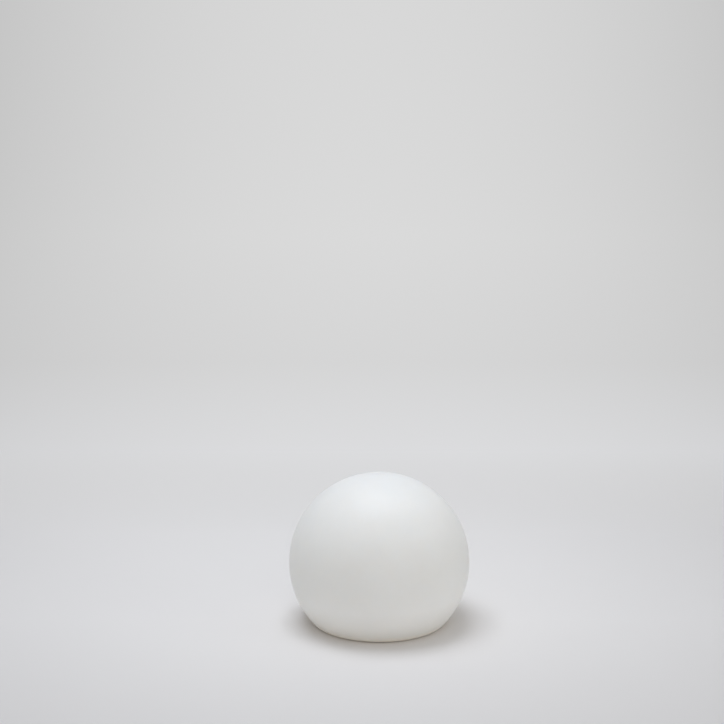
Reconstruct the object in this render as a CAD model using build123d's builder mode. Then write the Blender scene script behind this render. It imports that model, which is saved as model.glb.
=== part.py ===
from build123d import *

import math
import os

# Solar ball lamp: a moulded globe lifts off a round base.
# The base holds the light, the battery and the solar panel.
# Millimetres, +Z up, origin on the floor under the middle of the lamp.

os.makedirs("parts", exist_ok=True)

# Globe
GLOBE_RADIUS = 150.0
GLOBE_WALL = 3.0
RIM_LIFT = 1.0
RIM_EDGE_RADIUS = 12.0
RIM_FLAT_WIDTH = 3.5
RIM_LIP_RADIUS = 3.0
SEAT_CORNER_RADIUS = 2.0

# Threaded inserts moulded into the globe's seat, and the screws that hold the collar to them
INSERT_COUNT = 6
INSERT_START = 30.0
INSERT_RADIUS = 3.4
INSERT_LENGTH = 8.0
INSERT_BOSS_WALL = 3.6
INSERT_FIT = 0.05
COLLAR_SCREW_RADIUS = 1.95
COLLAR_SCREW_HEAD_RADIUS = 3.9
COLLAR_SCREW_LENGTH = 10.0

# Collar under the globe
BARREL_CLEARANCE = 0.5
SPIGOT_WALL = 3.0
SPIGOT_RISE = 14.0
MOUTH_CLEARANCE = 0.5
COLLAR_THICKNESS = 3.2
COLLAR_GASKET_THICKNESS = 1.0
COLLAR_GASKET_MARGIN = 1.0
COLLAR_LEDGE = 0.5
PEG_START = 90.0
PEG_RADIUS = 1.5
PEG_LENGTH = 1.8
PEG_GAP = 0.4

# Bayonet hooks of the collar and the lock ring that turns under them
LUG_COUNT = 3
HOOK_START = 60.0
HOOK_STOP_SPAN = 2.0
HOOK_WALL = 2.0
HOOK_FOOT_THICKNESS = 2.2
HOOK_FOOT_LIFT = 2.4
LOCK_TURN = 40.0
LOCK_TURN_SPARE = 0.5
TAB_SPAN = 20.0
TAB_LENGTH = 4.0
TAB_THICKNESS = 3.8
LUG_GAP = 0.5
LUG_PLAY = 0.3
RING_THICKNESS = 4.0
RING_PLAY = 0.3
RING_CLEARANCE = 0.4
RING_GRIP_WIDTH = 8.0
RING_GRIP_LIFT = 0.2
GRIP_COUNT = 9
GRIP_SPAN = 16.0
GRIP_WIDTH = 3.6
GRIP_DEPTH = 1.6
RECESS_CLEARANCE = 0.8

# Base casing
PLATE_LIFT = 2.0
PLATE_THICKNESS = 3.0
PLATE_EDGE_RADIUS = 0.8
PLATE_OVERHANG = 2.5
PLATE_GASKET_THICKNESS = 1.0
BARREL_WALL = 3.6
SKIRT_WALL = 2.5
SCREW_ZONE = 8.0
FLANGE_OVERHANG = 3.5
FLANGE_THICKNESS = 2.6
DECK_THICKNESS = 3.0
DECK_GAP = 1.0
DECK_EDGE_RADIUS = 1.5
SEAL_WIDTH = 3.0
SEAL_DEPTH = 1.8
SEAL_GAP = 0.15
SEAL_CORNER = 0.8
SEAL_RISE = 9.0
PLATE_SCREW_COUNT = 6
PLATE_SCREW_START = 0.0
PLATE_SCREW_RADIUS = 1.2
PLATE_SCREW_HEAD_RADIUS = 2.6
PLATE_SCREW_LENGTH = 8.5
PLATE_BOSS_RADIUS = 3.4
PLATE_BOSS_MERGE = 0.8

# Rubber feet
FOOT_COUNT = 4
FOOT_START = 45.0
FOOT_RADIUS = 7.0
FOOT_SINK = 1.0
FOOT_INSET = 12.0
FOOT_EDGE_RADIUS = 0.6
FOOT_GAP = 0.2

# Solar panel under the base
PANEL_RADIUS = 46.0
PANEL_GAP = 0.3
PANEL_SINK = 0.2
PANEL_MARGIN = 2.5
WINDOW_THICKNESS = 1.5
WAFER_THICKNESS = 0.4
WAFER_GAP = 1.2
WAFER_COLUMN_COUNT = 2
WAFER_ROW_COUNT = 9
RIBBON_WIDTH = 1.4
RIBBON_THICKNESS = 0.1
BACKING_THICKNESS = 1.6
PLATFORM_WALL = 2.5
PLATFORM_CEILING = 2.2

# Power button and its switch
CONTROL_GAP = 0.7
BUTTON_ANGLE = 255.0
BUTTON_RADIUS = 6.5
BUTTON_CLEARANCE = 0.1
BUTTON_SINK = 0.2
BUTTON_EDGE_RADIUS = 0.6
BUTTON_FLANGE = 1.1
BUTTON_FLANGE_THICKNESS = 1.0
BUTTON_PLAY = 0.1
BUTTON_TRAVEL = 0.8
GUIDE_WALL = 1.8
GUIDE_RISE = 4.2
BUTTON_GROOVE_DEPTH = 1.3
BUTTON_GROOVE_WIDTH = 2.0
BUTTON_SEAL_GAP = 0.05
STEM_RADIUS = 2.0
STEM_LENGTH = 2.1
PLUNGER_RADIUS = 1.75
PLUNGER_GAP = 0.15
PLUNGER_PROUD = 1.2
PLUNGER_HIDDEN = 1.4
SWITCH_SIZE = 6.2
SWITCH_HEIGHT = 3.4

# Charging socket and its rubber cap
JACK_ANGLE = 285.0
JACK_BORE_RADIUS = 2.8
JACK_THREAD_RADIUS = 5.4
JACK_FLANGE_RADIUS = 7.0
JACK_FLANGE_THICKNESS = 1.0
JACK_REAR_RADIUS = 4.8
JACK_END_WALL = 1.9
JACK_BOARD_GAP = 1.5
JACK_CLEARANCE = 0.2
JACK_BOSS_RISE = 3.0
JACK_BOSS_WALL = 1.2
WASHER_THICKNESS = 0.6
NUT_ACROSS_FLATS = 13.0
NUT_THICKNESS = 2.5
NUT_GAP = 0.1
JACK_PIN_RADIUS = 1.05
JACK_PIN_SINK = 2.9
JACK_PIN_FIT = 0.1
JACK_PIN_SOLDER = 1.2
CAP_RADIUS = 8.2
CAP_THICKNESS = 1.4
CAP_GAP = 0.3
CAP_CEILING_GAP = 0.2
CAP_REACH = 13.0
CAP_STRAP_WIDTH = 6.0
CAP_KNUCKLE_RADIUS = 0.8
CAP_PLUG_RADIUS = 2.2
CAP_PLUG_LENGTH = 2.3

# Main board and what sits on it
LANE_FRONT = 8.0
BOARD_WIDTH = 66.0
BOARD_DEPTH = 42.0
BOARD_THICKNESS = 1.6
BOARD_CORNER_RADIUS = 2.0
BOARD_TAB_WIDTH = 46.0
BOARD_TAB_MARGIN = 4.5
STANDOFF_INSET = 4.0
STANDOFF_RADIUS = 3.2
BOARD_SCREW_RADIUS = 1.2
BOARD_SCREW_HEAD_RADIUS = 2.4
BOARD_SCREW_HEAD_HEIGHT = 1.6
BOARD_SCREW_LENGTH = 6.0
SCREW_HOLE_GAP = 0.3
CONNECTOR_SIZE = (8.4, 6.0, 6.0)
CONNECTOR_PITCH = 18.0
CONNECTOR_INSET = 6.5
CHIP_SPOTS = [(-13.0, -30.0), (6.0, -36.0)]
CHIP_SIZES = [(10.0, 7.4, 1.8), (6.4, 5.2, 1.5)]
INDUCTOR_SPOT = (21.0, -33.0)
INDUCTOR_SIZE = 8.4
INDUCTOR_HEIGHT = 4.6
CAPACITOR_SPOTS = [(-26.5, -24.0), (-26.5, -35.0)]
CAPACITOR_RADIUS = 4.0
CAPACITOR_HEIGHT = 9.5

# Battery
LANE_BACK = 2.6
CELL_RADIUS = 9.2
CELL_LENGTH = 65.2
CELL_GAP = 0.1
CELL_SPACING = 1.0
CELL_EDGE_RADIUS = 0.8
CELL_BUTTON_RADIUS = 3.2
CELL_BUTTON_HEIGHT = 0.8
TRAY_FLOOR = 1.6
TRAY_WALL = 1.6
TRAY_HEIGHT = 9.0
TRAY_END_ROOM = 2.8
EAR_RISE = 6.0
EAR_THICKNESS = 2.0
EAR_LENGTH = 9.0
EAR_BOSS_RADIUS = 3.4
TAB_STRIP_THICKNESS = 0.3
TAB_STRIP_WIDTH = 7.0
STRAP_WIDTH = 14.0
STRAP_THICKNESS = 1.2
STRAP_GAP = 0.2
STRAP_LEG = 12.0

# Leads
LEAD_RADIUS = 0.7
LEAD_PITCH = 3.2
LEAD_RISE = 4.0
LEAD_BEND = 2.2
LEAD_HOLE_GAP = 0.4
LED_LEAD_PITCH = 2.4
LED_LEAD_LOOP = 3.2
LED_LEAD_REACH = 4.6
LED_LEAD_BEND = 1.5
LED_LEAD_SPARE = 0.3
GROMMET_WALL = 1.6
GROMMET_FLANGE = 1.6
GROMMET_FLANGE_THICKNESS = 0.8
GROMMET_FIT = 0.1

# Light
PEDESTAL_RADIUS = 33.0
PEDESTAL_RISE = 4.0
LED_BOARD_RADIUS = 31.0
LED_BOARD_THICKNESS = 1.6
LED_SIZE = 5.0
LED_HEIGHT = 1.6
LED_LENS_RADIUS = 1.9
LED_LENS_DEPTH = 0.3
LED_RING_RADII = (8.0, 20.5)
LED_RING_COUNTS = (6, 12)
LED_RING_STARTS = (0.0, 15.0)
LED_SCREW_CIRCLE = 27.0
LED_SCREW_COUNT = 3
LED_SCREW_START = 90.0
LED_SCREW_RADIUS = 1.2
LED_SCREW_HEAD_RADIUS = 2.2
LED_SCREW_HEAD_HEIGHT = 1.4
LED_SCREW_LENGTH = 6.0
DOME_RADIUS = 54.0
DOME_WALL = 2.0
DOME_HEIGHT = 48.0
DOME_SHOULDER_RADIUS = 22.0
DOME_FLANGE_THICKNESS = 3.0
DOME_FLANGE_INSET = 5.0
DOME_SEAL_DEPTH = 1.4
DOME_SEAL_WIDTH = 2.4
DOME_SEAL_FIT = 0.1
DOME_SCREW_COUNT = 4
DOME_SCREW_START = 45.0
DOME_SCREW_RADIUS = 1.2
DOME_SCREW_HEAD_RADIUS = 2.6
DOME_SCREW_HEAD_HEIGHT = 1.8
DOME_SCREW_LENGTH = 8.0
DOME_BOSS_RADIUS = 3.0
DOME_BOSS_DROP = 4.0

# Screw drive recess, the same on every screw
DRIVE_WIDTH = 0.35
DRIVE_LENGTH = 1.2
DRIVE_DEPTH = 0.5

# Radii from the panel outwards
recess_panel_radius = PANEL_RADIUS + PANEL_GAP
platform_radius = recess_panel_radius + PLATFORM_WALL
guide_bore = BUTTON_RADIUS + BUTTON_CLEARANCE
guide_radius = guide_bore + GUIDE_WALL
nut_corner_radius = NUT_ACROSS_FLATS / math.sqrt(3)
jack_hole_radius = JACK_THREAD_RADIUS + JACK_CLEARANCE
jack_flange_hole_radius = JACK_FLANGE_RADIUS + JACK_CLEARANCE
jack_boss_radius = CAP_RADIUS + CAP_GAP + JACK_BOSS_WALL
control_reach = max(guide_radius, nut_corner_radius, jack_boss_radius)
control_circle = platform_radius + CONTROL_GAP + control_reach
barrel_inner_radius = control_circle + control_reach + CONTROL_GAP
barrel_radius = barrel_inner_radius + BARREL_WALL
collar_bore = barrel_radius + BARREL_CLEARANCE
spigot_radius = collar_bore + SPIGOT_WALL
mouth_radius = spigot_radius + MOUTH_CLEARANCE
skirt_inner_radius = barrel_inner_radius + SCREW_ZONE
skirt_radius = skirt_inner_radius + SKIRT_WALL
plate_screw_circle = skirt_inner_radius + PLATE_BOSS_MERGE - PLATE_BOSS_RADIUS
plate_radius = skirt_radius + PLATE_OVERHANG
flange_radius = skirt_radius + FLANGE_OVERHANG
ring_inner_radius = skirt_radius + RING_CLEARANCE
ring_grip_radius = plate_radius + RING_CLEARANCE
ring_radius = ring_grip_radius + RING_GRIP_WIDTH
hook_foot_radius = ring_radius + LUG_GAP
tab_radius = ring_radius + TAB_LENGTH
hook_inner_radius = tab_radius + LUG_GAP
hook_radius = hook_inner_radius + HOOK_WALL
collar_radius = hook_radius + COLLAR_LEDGE
recess_radius = collar_radius + RECESS_CLEARANCE
flat_radius = recess_radius + GLOBE_WALL + RIM_FLAT_WIDTH
collar_screw_circle = (flange_radius + hook_foot_radius) / 2
peg_circle = (collar_bore + flange_radius) / 2
foot_circle = plate_radius - FOOT_INSET

# Heights of the casing from the floor upwards
plate_top = PLATE_LIFT + PLATE_THICKNESS
skirt_bottom = plate_top + PLATE_GASKET_THICKNESS
ring_bottom = plate_top + RING_PLAY
ring_top = ring_bottom + RING_THICKNESS
flange_bottom = ring_top + RING_PLAY
flange_top = flange_bottom + FLANGE_THICKNESS
collar_top = flange_top + COLLAR_THICKNESS
seat_height = collar_top + COLLAR_GASKET_THICKNESS
spigot_top = collar_top + SPIGOT_RISE
hook_foot_top = HOOK_FOOT_LIFT + HOOK_FOOT_THICKNESS
tab_bottom = hook_foot_top + LUG_PLAY

# Heights of the solar panel
window_bottom = PLATE_LIFT + PANEL_SINK
window_top = window_bottom + WINDOW_THICKNESS
wafer_bottom = window_top + RIBBON_THICKNESS
wafer_top = wafer_bottom + WAFER_THICKNESS
backing_top = wafer_top + BACKING_THICKNESS
platform_top = backing_top + PLATFORM_CEILING

# Heights of the button, switch and main board
button_bottom = PLATE_LIFT + BUTTON_SINK
guide_top = plate_top + GUIDE_RISE
button_flange_bottom = guide_top + BUTTON_PLAY
button_flange_top = button_flange_bottom + BUTTON_FLANGE_THICKNESS
plunger_bottom = button_flange_top + STEM_LENGTH
switch_bottom = plunger_bottom + PLUNGER_PROUD
board_bottom = switch_bottom + SWITCH_HEIGHT
board_top = board_bottom + BOARD_THICKNESS
connector_top = board_top + CONNECTOR_SIZE[2]
lead_level = connector_top + LEAD_RISE

# Heights of the battery
cell_bottom = platform_top + TRAY_FLOOR + CELL_GAP
cell_axis_height = cell_bottom + CELL_RADIUS
cell_top = cell_axis_height + CELL_RADIUS
strap_bottom = cell_top + STRAP_GAP
strap_top = strap_bottom + STRAP_THICKNESS
ear_bottom = platform_top + EAR_RISE
ear_top = ear_bottom + EAR_THICKNESS

# Heights of the deck and light
deck_bottom = max(strap_top, lead_level + LEAD_RADIUS, board_top + CAPACITOR_HEIGHT) + DECK_GAP
deck_top = deck_bottom + DECK_THICKNESS
pedestal_top = deck_top + PEDESTAL_RISE
led_board_top = pedestal_top + LED_BOARD_THICKNESS
dome_flange_top = deck_top + DOME_FLANGE_THICKNESS
dome_top = deck_top + DOME_HEIGHT

# Plan of the battery, board and leads
tray_front = LANE_BACK
front_cell_y = tray_front + TRAY_WALL + CELL_GAP + CELL_RADIUS
back_cell_y = front_cell_y + 2 * CELL_RADIUS + CELL_SPACING
tray_back = back_cell_y + CELL_RADIUS + CELL_GAP + TRAY_WALL
tray_depth = tray_back - tray_front
tray_middle_y = (tray_front + tray_back) / 2
tray_inner_half = CELL_LENGTH / 2 + TRAY_END_ROOM
tray_half_length = tray_inner_half + TRAY_WALL
ear_spots = [(side * (tray_half_length + EAR_LENGTH / 2), tray_middle_y) for side in (-1, 1)]
board_back_y = -LANE_FRONT
board_front_y = board_back_y - BOARD_DEPTH
board_tab_y = -(control_circle + BOARD_TAB_MARGIN)
board_middle_y = (board_back_y + board_front_y) / 2
standoff_x = BOARD_WIDTH / 2 - STANDOFF_INSET
standoff_spots = [
    (side * standoff_x, y)
    for side in (-1, 1)
    for y in (board_back_y - STANDOFF_INSET, board_front_y + STANDOFF_INSET)
]
connector_y = board_back_y - CONNECTOR_INSET
connector_spots = [(column * CONNECTOR_PITCH, connector_y) for column in (-1, 0, 1)]
solar_connector_x = -CONNECTOR_PITCH
battery_connector_x = CONNECTOR_PITCH
solar_lead_y = (tray_front - LANE_FRONT) / 2
lead_half = LEAD_PITCH / 2
grommet_bore = LED_LEAD_PITCH / 2 + LEAD_RADIUS + LED_LEAD_SPARE
grommet_radius = grommet_bore + GROMMET_WALL
led_lead_spot = (0.0, connector_y)

# Light plan
dome_inner_radius = DOME_RADIUS - DOME_WALL
dome_flange_radius = barrel_radius - DOME_FLANGE_INSET
dome_seal_inner = DOME_RADIUS
dome_seal_outer = dome_seal_inner + DOME_SEAL_WIDTH
dome_screw_circle = (dome_seal_outer + dome_flange_radius) / 2

# Globe centre, set so that the rounded foot edge runs smoothly into the ball
edge_centre_height = RIM_LIFT + RIM_EDGE_RADIUS
edge_centre_distance = GLOBE_RADIUS - RIM_EDGE_RADIUS
globe_centre = edge_centre_height + math.sqrt(edge_centre_distance**2 - flat_radius**2)
edge_angle = math.degrees(math.atan2(edge_centre_height - globe_centre, flat_radius))
globe_top = globe_centre + GLOBE_RADIUS

# Angles around the lamp
hook_angles = [HOOK_START + index * 360 / LUG_COUNT for index in range(LUG_COUNT)]
tab_angles = [angle - LOCK_TURN for angle in hook_angles]


def around(radius, angle):
    """Point on a circle about the Z axis."""
    turn = math.radians(angle)
    return (radius * math.cos(turn), radius * math.sin(turn))


button_spot = around(control_circle, BUTTON_ANGLE)
jack_spot = around(control_circle, JACK_ANGLE)

# The cap's strap runs along the rim of the base, from the socket to its hinge
cap_direction = around(1.0, JACK_ANGLE + 90.0)
cap_plane = Plane(
    origin=(jack_spot[0], jack_spot[1], PLATE_LIFT),
    x_dir=(cap_direction[0], cap_direction[1], 0.0),
    z_dir=(0.0, 0.0, 1.0),
)
cap_hinge_height = PLATE_LIFT + CAP_KNUCKLE_RADIUS
cap_hinge = (
    jack_spot[0] + CAP_REACH * cap_direction[0],
    jack_spot[1] + CAP_REACH * cap_direction[1],
    cap_hinge_height,
)
cap_recess_top = PLATE_LIFT + max(CAP_THICKNESS, 2 * CAP_KNUCKLE_RADIUS) + CAP_CEILING_GAP
jack_flange_top = cap_recess_top + JACK_FLANGE_THICKNESS
washer_top = jack_flange_top + WASHER_THICKNESS
jack_boss_top = plate_top + JACK_BOSS_RISE
nut_top = jack_boss_top + NUT_THICKNESS
jack_rear_top = board_bottom - JACK_BOARD_GAP
jack_bore_top = jack_rear_top - JACK_END_WALL


def save(builder, name):
    """Label a finished piece and write its STEP file."""
    builder.part.label = name
    export_step(builder.part, f"parts/{name}.step")


def ring(inner_radius, outer_radius, bottom, height):
    """Add a plain flat ring to the piece being built."""
    with BuildSketch(Plane.XY.offset(bottom)) as outline:
        Circle(outer_radius)
        Circle(inner_radius, mode=Mode.SUBTRACT)
    extrude(outline.sketch, amount=height)


def discs(spots, radius, bottom, height, mode=Mode.ADD):
    """Add or cut upright round posts at the given spots."""
    with BuildSketch(Plane.XY.offset(bottom)) as outline:
        with Locations(*spots):
            Circle(radius)
    extrude(outline.sketch, amount=height, mode=mode)


def holes(spots, radius, bottom, height):
    """Cut upright round holes at the given spots."""
    discs(spots, radius, bottom, height, mode=Mode.SUBTRACT)


def turned(points):
    """Add the solid swept by a closed outline of (radius, height) points about the Z axis."""
    with BuildSketch(Plane.XZ) as outline:
        with BuildLine():
            Polyline(*points, close=True)
        make_face()
    revolve(outline.sketch, axis=Axis.Z)


def arc_block(corners, start, span):
    """Add a block whose outline of (radius, height) corners follows an arc about the Z axis."""
    with BuildSketch(Plane.XZ.rotated((0, 0, start))) as outline:
        with BuildLine():
            Polyline(*corners, close=True)
        make_face()
    revolve(outline.sketch, axis=Axis.Z, revolution_arc=span)


def drive_recess(spots, face_height, depth):
    """Cut a cross recess into screw heads; a positive depth cuts upwards."""
    with BuildSketch(Plane.XY.offset(face_height)) as outline:
        with Locations(*spots):
            Rectangle(2 * DRIVE_LENGTH, 2 * DRIVE_WIDTH)
            Rectangle(2 * DRIVE_WIDTH, 2 * DRIVE_LENGTH)
    extrude(outline.sketch, amount=depth, mode=Mode.SUBTRACT)


def flat_screws(spots, face_height, head_radius, shank_radius, length):
    """Add countersunk screws that point upwards with their heads flush below."""
    head_height = head_radius - shank_radius
    with Locations(*[(x, y, face_height) for x, y in spots]):
        Cone(head_radius, shank_radius, head_height, align=(Align.CENTER, Align.CENTER, Align.MIN))
        Cylinder(shank_radius, length, align=(Align.CENTER, Align.CENTER, Align.MIN))
    drive_recess(spots, face_height, DRIVE_DEPTH)


def pan_screws(spots, seat, head_radius, head_height, shank_radius, length):
    """Add pan-head screws that point downwards and clamp at the seat height."""
    discs(spots, head_radius, seat, head_height)
    discs(spots, shank_radius, seat, -length)
    drive_recess(spots, seat + head_height, -DRIVE_DEPTH)


def countersinks(spots, face_height, head_radius, hole_radius, through):
    """Cut countersunk holes that open downwards."""
    holes(spots, hole_radius, face_height, through)
    head_height = head_radius - hole_radius
    with Locations(*[(x, y, face_height) for x, y in spots]):
        Cone(
            head_radius,
            hole_radius,
            head_height,
            align=(Align.CENTER, Align.CENTER, Align.MIN),
            mode=Mode.SUBTRACT,
        )


def soft_ring(inner_radius, outer_radius, bottom, height, corner):
    """Add a squeezed rubber ring with rounded corners."""
    with BuildSketch(Plane.XZ) as outline:
        with Locations(((inner_radius + outer_radius) / 2, bottom + height / 2)):
            RectangleRounded(outer_radius - inner_radius, height, corner)
    revolve(outline.sketch, axis=Axis.Z)


def lead(points, bend):
    """Add one insulated lead along a route with rounded bends."""
    with BuildLine() as route:
        FilletPolyline(*points, radius=bend)
    with BuildSketch(Plane(origin=route.line @ 0, z_dir=route.line % 0)) as section:
        Circle(LEAD_RADIUS)
    sweep(section.sketch, path=route.line)


def spread(radius, count, start):
    """Spots evenly round a circle about the Z axis."""
    return [around(radius, start + index * 360 / count) for index in range(count)]


collar_screw_spots = spread(collar_screw_circle, INSERT_COUNT, INSERT_START)
plate_screw_spots = spread(plate_screw_circle, PLATE_SCREW_COUNT, PLATE_SCREW_START)
foot_spots = spread(foot_circle, FOOT_COUNT, FOOT_START)
peg_spots = spread(peg_circle, LUG_COUNT, PEG_START)
dome_screw_spots = spread(dome_screw_circle, DOME_SCREW_COUNT, DOME_SCREW_START)
led_screw_spots = spread(LED_SCREW_CIRCLE, LED_SCREW_COUNT, LED_SCREW_START)

# Globe: ball, soft foot edge, flat foot, then up into the recess and in to the mouth
with BuildPart() as globe_shell:
    inner_ball_radius = GLOBE_RADIUS - GLOBE_WALL
    inner_edge_radius = RIM_EDGE_RADIUS - GLOBE_WALL
    seat_corner_x = recess_radius - SEAT_CORNER_RADIUS
    seat_corner_height = seat_height - SEAT_CORNER_RADIUS
    with BuildSketch(Plane.XZ):
        with BuildLine() as outline:
            CenterArc((0, globe_centre), GLOBE_RADIUS, 90, edge_angle - 90)
            CenterArc((flat_radius, edge_centre_height), RIM_EDGE_RADIUS, edge_angle, -90 - edge_angle)
            Line((flat_radius, RIM_LIFT), (recess_radius + RIM_LIP_RADIUS, RIM_LIFT))
            CenterArc((recess_radius + RIM_LIP_RADIUS, RIM_LIFT + RIM_LIP_RADIUS), RIM_LIP_RADIUS, -90, -90)
            Line((recess_radius, RIM_LIFT + RIM_LIP_RADIUS), (recess_radius, seat_corner_height))
            CenterArc((seat_corner_x, seat_corner_height), SEAT_CORNER_RADIUS, 0, 90)
            Polyline(
                (seat_corner_x, seat_height),
                (mouth_radius, seat_height),
                (mouth_radius, seat_height + GLOBE_WALL),
                (seat_corner_x, seat_height + GLOBE_WALL),
            )
            CenterArc((seat_corner_x, seat_corner_height), SEAT_CORNER_RADIUS + GLOBE_WALL, 90, -90)
            Polyline(
                (recess_radius + GLOBE_WALL, seat_corner_height),
                (recess_radius + GLOBE_WALL, RIM_LIFT + GLOBE_WALL),
                (flat_radius, RIM_LIFT + GLOBE_WALL),
            )
            CenterArc((flat_radius, edge_centre_height), inner_edge_radius, -90, edge_angle + 90)
            CenterArc((0, globe_centre), inner_ball_radius, edge_angle, 90 - edge_angle)
            Line((0, globe_centre + inner_ball_radius), (0, globe_top))
        make_face()
    revolve(axis=Axis.Z)
    boss_height = INSERT_LENGTH + INSERT_BOSS_WALL
    discs(collar_screw_spots, INSERT_RADIUS + INSERT_BOSS_WALL, seat_height, boss_height)
    screw_reach = COLLAR_SCREW_LENGTH - COLLAR_THICKNESS - COLLAR_GASKET_THICKNESS
    insert_hole_depth = max(INSERT_LENGTH, screw_reach + INSERT_FIT)
    holes(collar_screw_spots, INSERT_RADIUS + INSERT_FIT, seat_height, insert_hole_depth)
save(globe_shell, "globe_shell")

with BuildPart() as seat_inserts:
    discs(collar_screw_spots, INSERT_RADIUS, seat_height, INSERT_LENGTH)
    holes(collar_screw_spots, COLLAR_SCREW_RADIUS + INSERT_FIT, seat_height, INSERT_LENGTH)
save(seat_inserts, "seat_inserts")

# Collar: flange and spigot, three hooks with end stops, three pegs that key it to the base
with BuildPart() as neck_collar:
    ring(collar_bore, collar_radius, flange_top, COLLAR_THICKNESS)
    ring(collar_bore, spigot_radius, collar_top, SPIGOT_RISE)
    hook_root = (flange_top + collar_top) / 2
    hook_outline = [
        (hook_inner_radius, hook_root),
        (hook_inner_radius, hook_foot_top),
        (hook_foot_radius, hook_foot_top),
        (hook_foot_radius, HOOK_FOOT_LIFT),
        (hook_radius, HOOK_FOOT_LIFT),
        (hook_radius, hook_root),
    ]
    stop_outline = [
        (hook_foot_radius, hook_root),
        (hook_foot_radius, HOOK_FOOT_LIFT),
        (hook_radius, HOOK_FOOT_LIFT),
        (hook_radius, hook_root),
    ]
    for hook_angle in hook_angles:
        hook_start = hook_angle - TAB_SPAN / 2 - LOCK_TURN_SPARE
        stop_start = hook_angle + TAB_SPAN / 2 + LOCK_TURN_SPARE
        arc_block(hook_outline, hook_start, stop_start - hook_start)
        arc_block(stop_outline, stop_start, HOOK_STOP_SPAN)
    discs(peg_spots, PEG_RADIUS, flange_top, -PEG_LENGTH)
    countersinks(
        collar_screw_spots,
        flange_top,
        COLLAR_SCREW_HEAD_RADIUS + SCREW_HOLE_GAP,
        COLLAR_SCREW_RADIUS + SCREW_HOLE_GAP,
        COLLAR_THICKNESS,
    )
save(neck_collar, "neck_collar")

with BuildPart() as collar_gasket:
    gasket_outer_radius = recess_radius - SEAT_CORNER_RADIUS - COLLAR_GASKET_MARGIN
    ring(mouth_radius + COLLAR_GASKET_MARGIN, gasket_outer_radius, collar_top, COLLAR_GASKET_THICKNESS)
    holes(collar_screw_spots, COLLAR_SCREW_RADIUS + SCREW_HOLE_GAP, collar_top, COLLAR_GASKET_THICKNESS)
save(collar_gasket, "collar_gasket")

with BuildPart() as collar_screws:
    flat_screws(
        collar_screw_spots,
        flange_top,
        COLLAR_SCREW_HEAD_RADIUS,
        COLLAR_SCREW_RADIUS,
        COLLAR_SCREW_LENGTH,
    )
save(collar_screws, "collar_screws")

# Lock ring: held between the base plate and the housing flange, its tabs turn over the hooks' feet
with BuildPart() as lock_ring:
    grip_bottom = PLATE_LIFT + RING_GRIP_LIFT
    ring(ring_inner_radius, ring_radius, ring_bottom, RING_THICKNESS)
    ring(ring_grip_radius, ring_radius, grip_bottom, ring_bottom - grip_bottom)
    tab_root = ring_radius - RING_CLEARANCE
    tab_top = tab_bottom + TAB_THICKNESS
    tab_outline = [
        (tab_root, tab_bottom),
        (tab_radius, tab_bottom),
        (tab_radius, tab_top),
        (tab_root, tab_top),
    ]
    for tab_angle in tab_angles:
        arc_block(tab_outline, tab_angle - TAB_SPAN / 2, TAB_SPAN)
    grip_circle = (ring_grip_radius + ring_radius) / 2
    with BuildSketch(Plane.XY.offset(grip_bottom)):
        for index in range(GRIP_COUNT):
            grip_start = 360 * index / GRIP_COUNT - GRIP_SPAN / 2
            SlotArc(CenterArc((0, 0), grip_circle, grip_start, GRIP_SPAN, mode=Mode.PRIVATE), GRIP_WIDTH)
    extrude(amount=GRIP_DEPTH, mode=Mode.SUBTRACT)
save(lock_ring, "lock_ring")

# Housing of the base: barrel with a seal groove, flange and skirt, deck with the light's pedestal
with BuildPart() as module_housing:
    seal_bottom = flange_top + SEAL_RISE
    seal_top = seal_bottom + SEAL_WIDTH
    groove_radius = barrel_radius - SEAL_DEPTH
    turned(
        [
            (0, pedestal_top),
            (PEDESTAL_RADIUS, pedestal_top),
            (PEDESTAL_RADIUS, deck_top),
            (barrel_radius - DECK_EDGE_RADIUS, deck_top),
            (barrel_radius, deck_top - DECK_EDGE_RADIUS),
            (barrel_radius, seal_top),
            (groove_radius, seal_top),
            (groove_radius, seal_bottom),
            (barrel_radius, seal_bottom),
            (barrel_radius, flange_top),
            (flange_radius, flange_top),
            (flange_radius, flange_bottom),
            (skirt_radius, flange_bottom),
            (skirt_radius, skirt_bottom),
            (skirt_inner_radius, skirt_bottom),
            (skirt_inner_radius, flange_bottom),
            (barrel_inner_radius, flange_bottom),
            (barrel_inner_radius, deck_bottom),
            (0, deck_bottom),
        ]
    )
    plate_screw_depth = PLATE_LIFT + PLATE_SCREW_LENGTH + SCREW_HOLE_GAP - skirt_bottom
    discs(plate_screw_spots, PLATE_BOSS_RADIUS, skirt_bottom, flange_bottom - skirt_bottom)
    holes(plate_screw_spots, PLATE_SCREW_RADIUS + INSERT_FIT, skirt_bottom, plate_screw_depth)
    discs(dome_screw_spots, DOME_BOSS_RADIUS, deck_bottom, -DOME_BOSS_DROP)
    dome_hole_depth = DOME_SCREW_LENGTH - DOME_FLANGE_THICKNESS + SCREW_HOLE_GAP
    holes(dome_screw_spots, DOME_SCREW_RADIUS + INSERT_FIT, deck_top, -dome_hole_depth)
    led_hole_depth = LED_SCREW_LENGTH - LED_BOARD_THICKNESS + SCREW_HOLE_GAP
    holes(led_screw_spots, LED_SCREW_RADIUS + INSERT_FIT, pedestal_top, -led_hole_depth)
    holes([led_lead_spot], grommet_radius + GROMMET_FIT, deck_bottom, pedestal_top - deck_bottom)
    holes(peg_spots, PEG_RADIUS + PEG_GAP, flange_top, -PEG_LENGTH - PEG_GAP)
    with BuildSketch(Plane.XY.offset(deck_top)):
        Circle(dome_seal_outer)
        Circle(dome_seal_inner, mode=Mode.SUBTRACT)
    extrude(amount=-DOME_SEAL_DEPTH, mode=Mode.SUBTRACT)
save(module_housing, "module_housing")

with BuildPart() as base_oring:
    soft_ring(groove_radius, collar_bore - SEAL_GAP, seal_bottom, SEAL_WIDTH, SEAL_CORNER)
save(base_oring, "base_oring")

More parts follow.
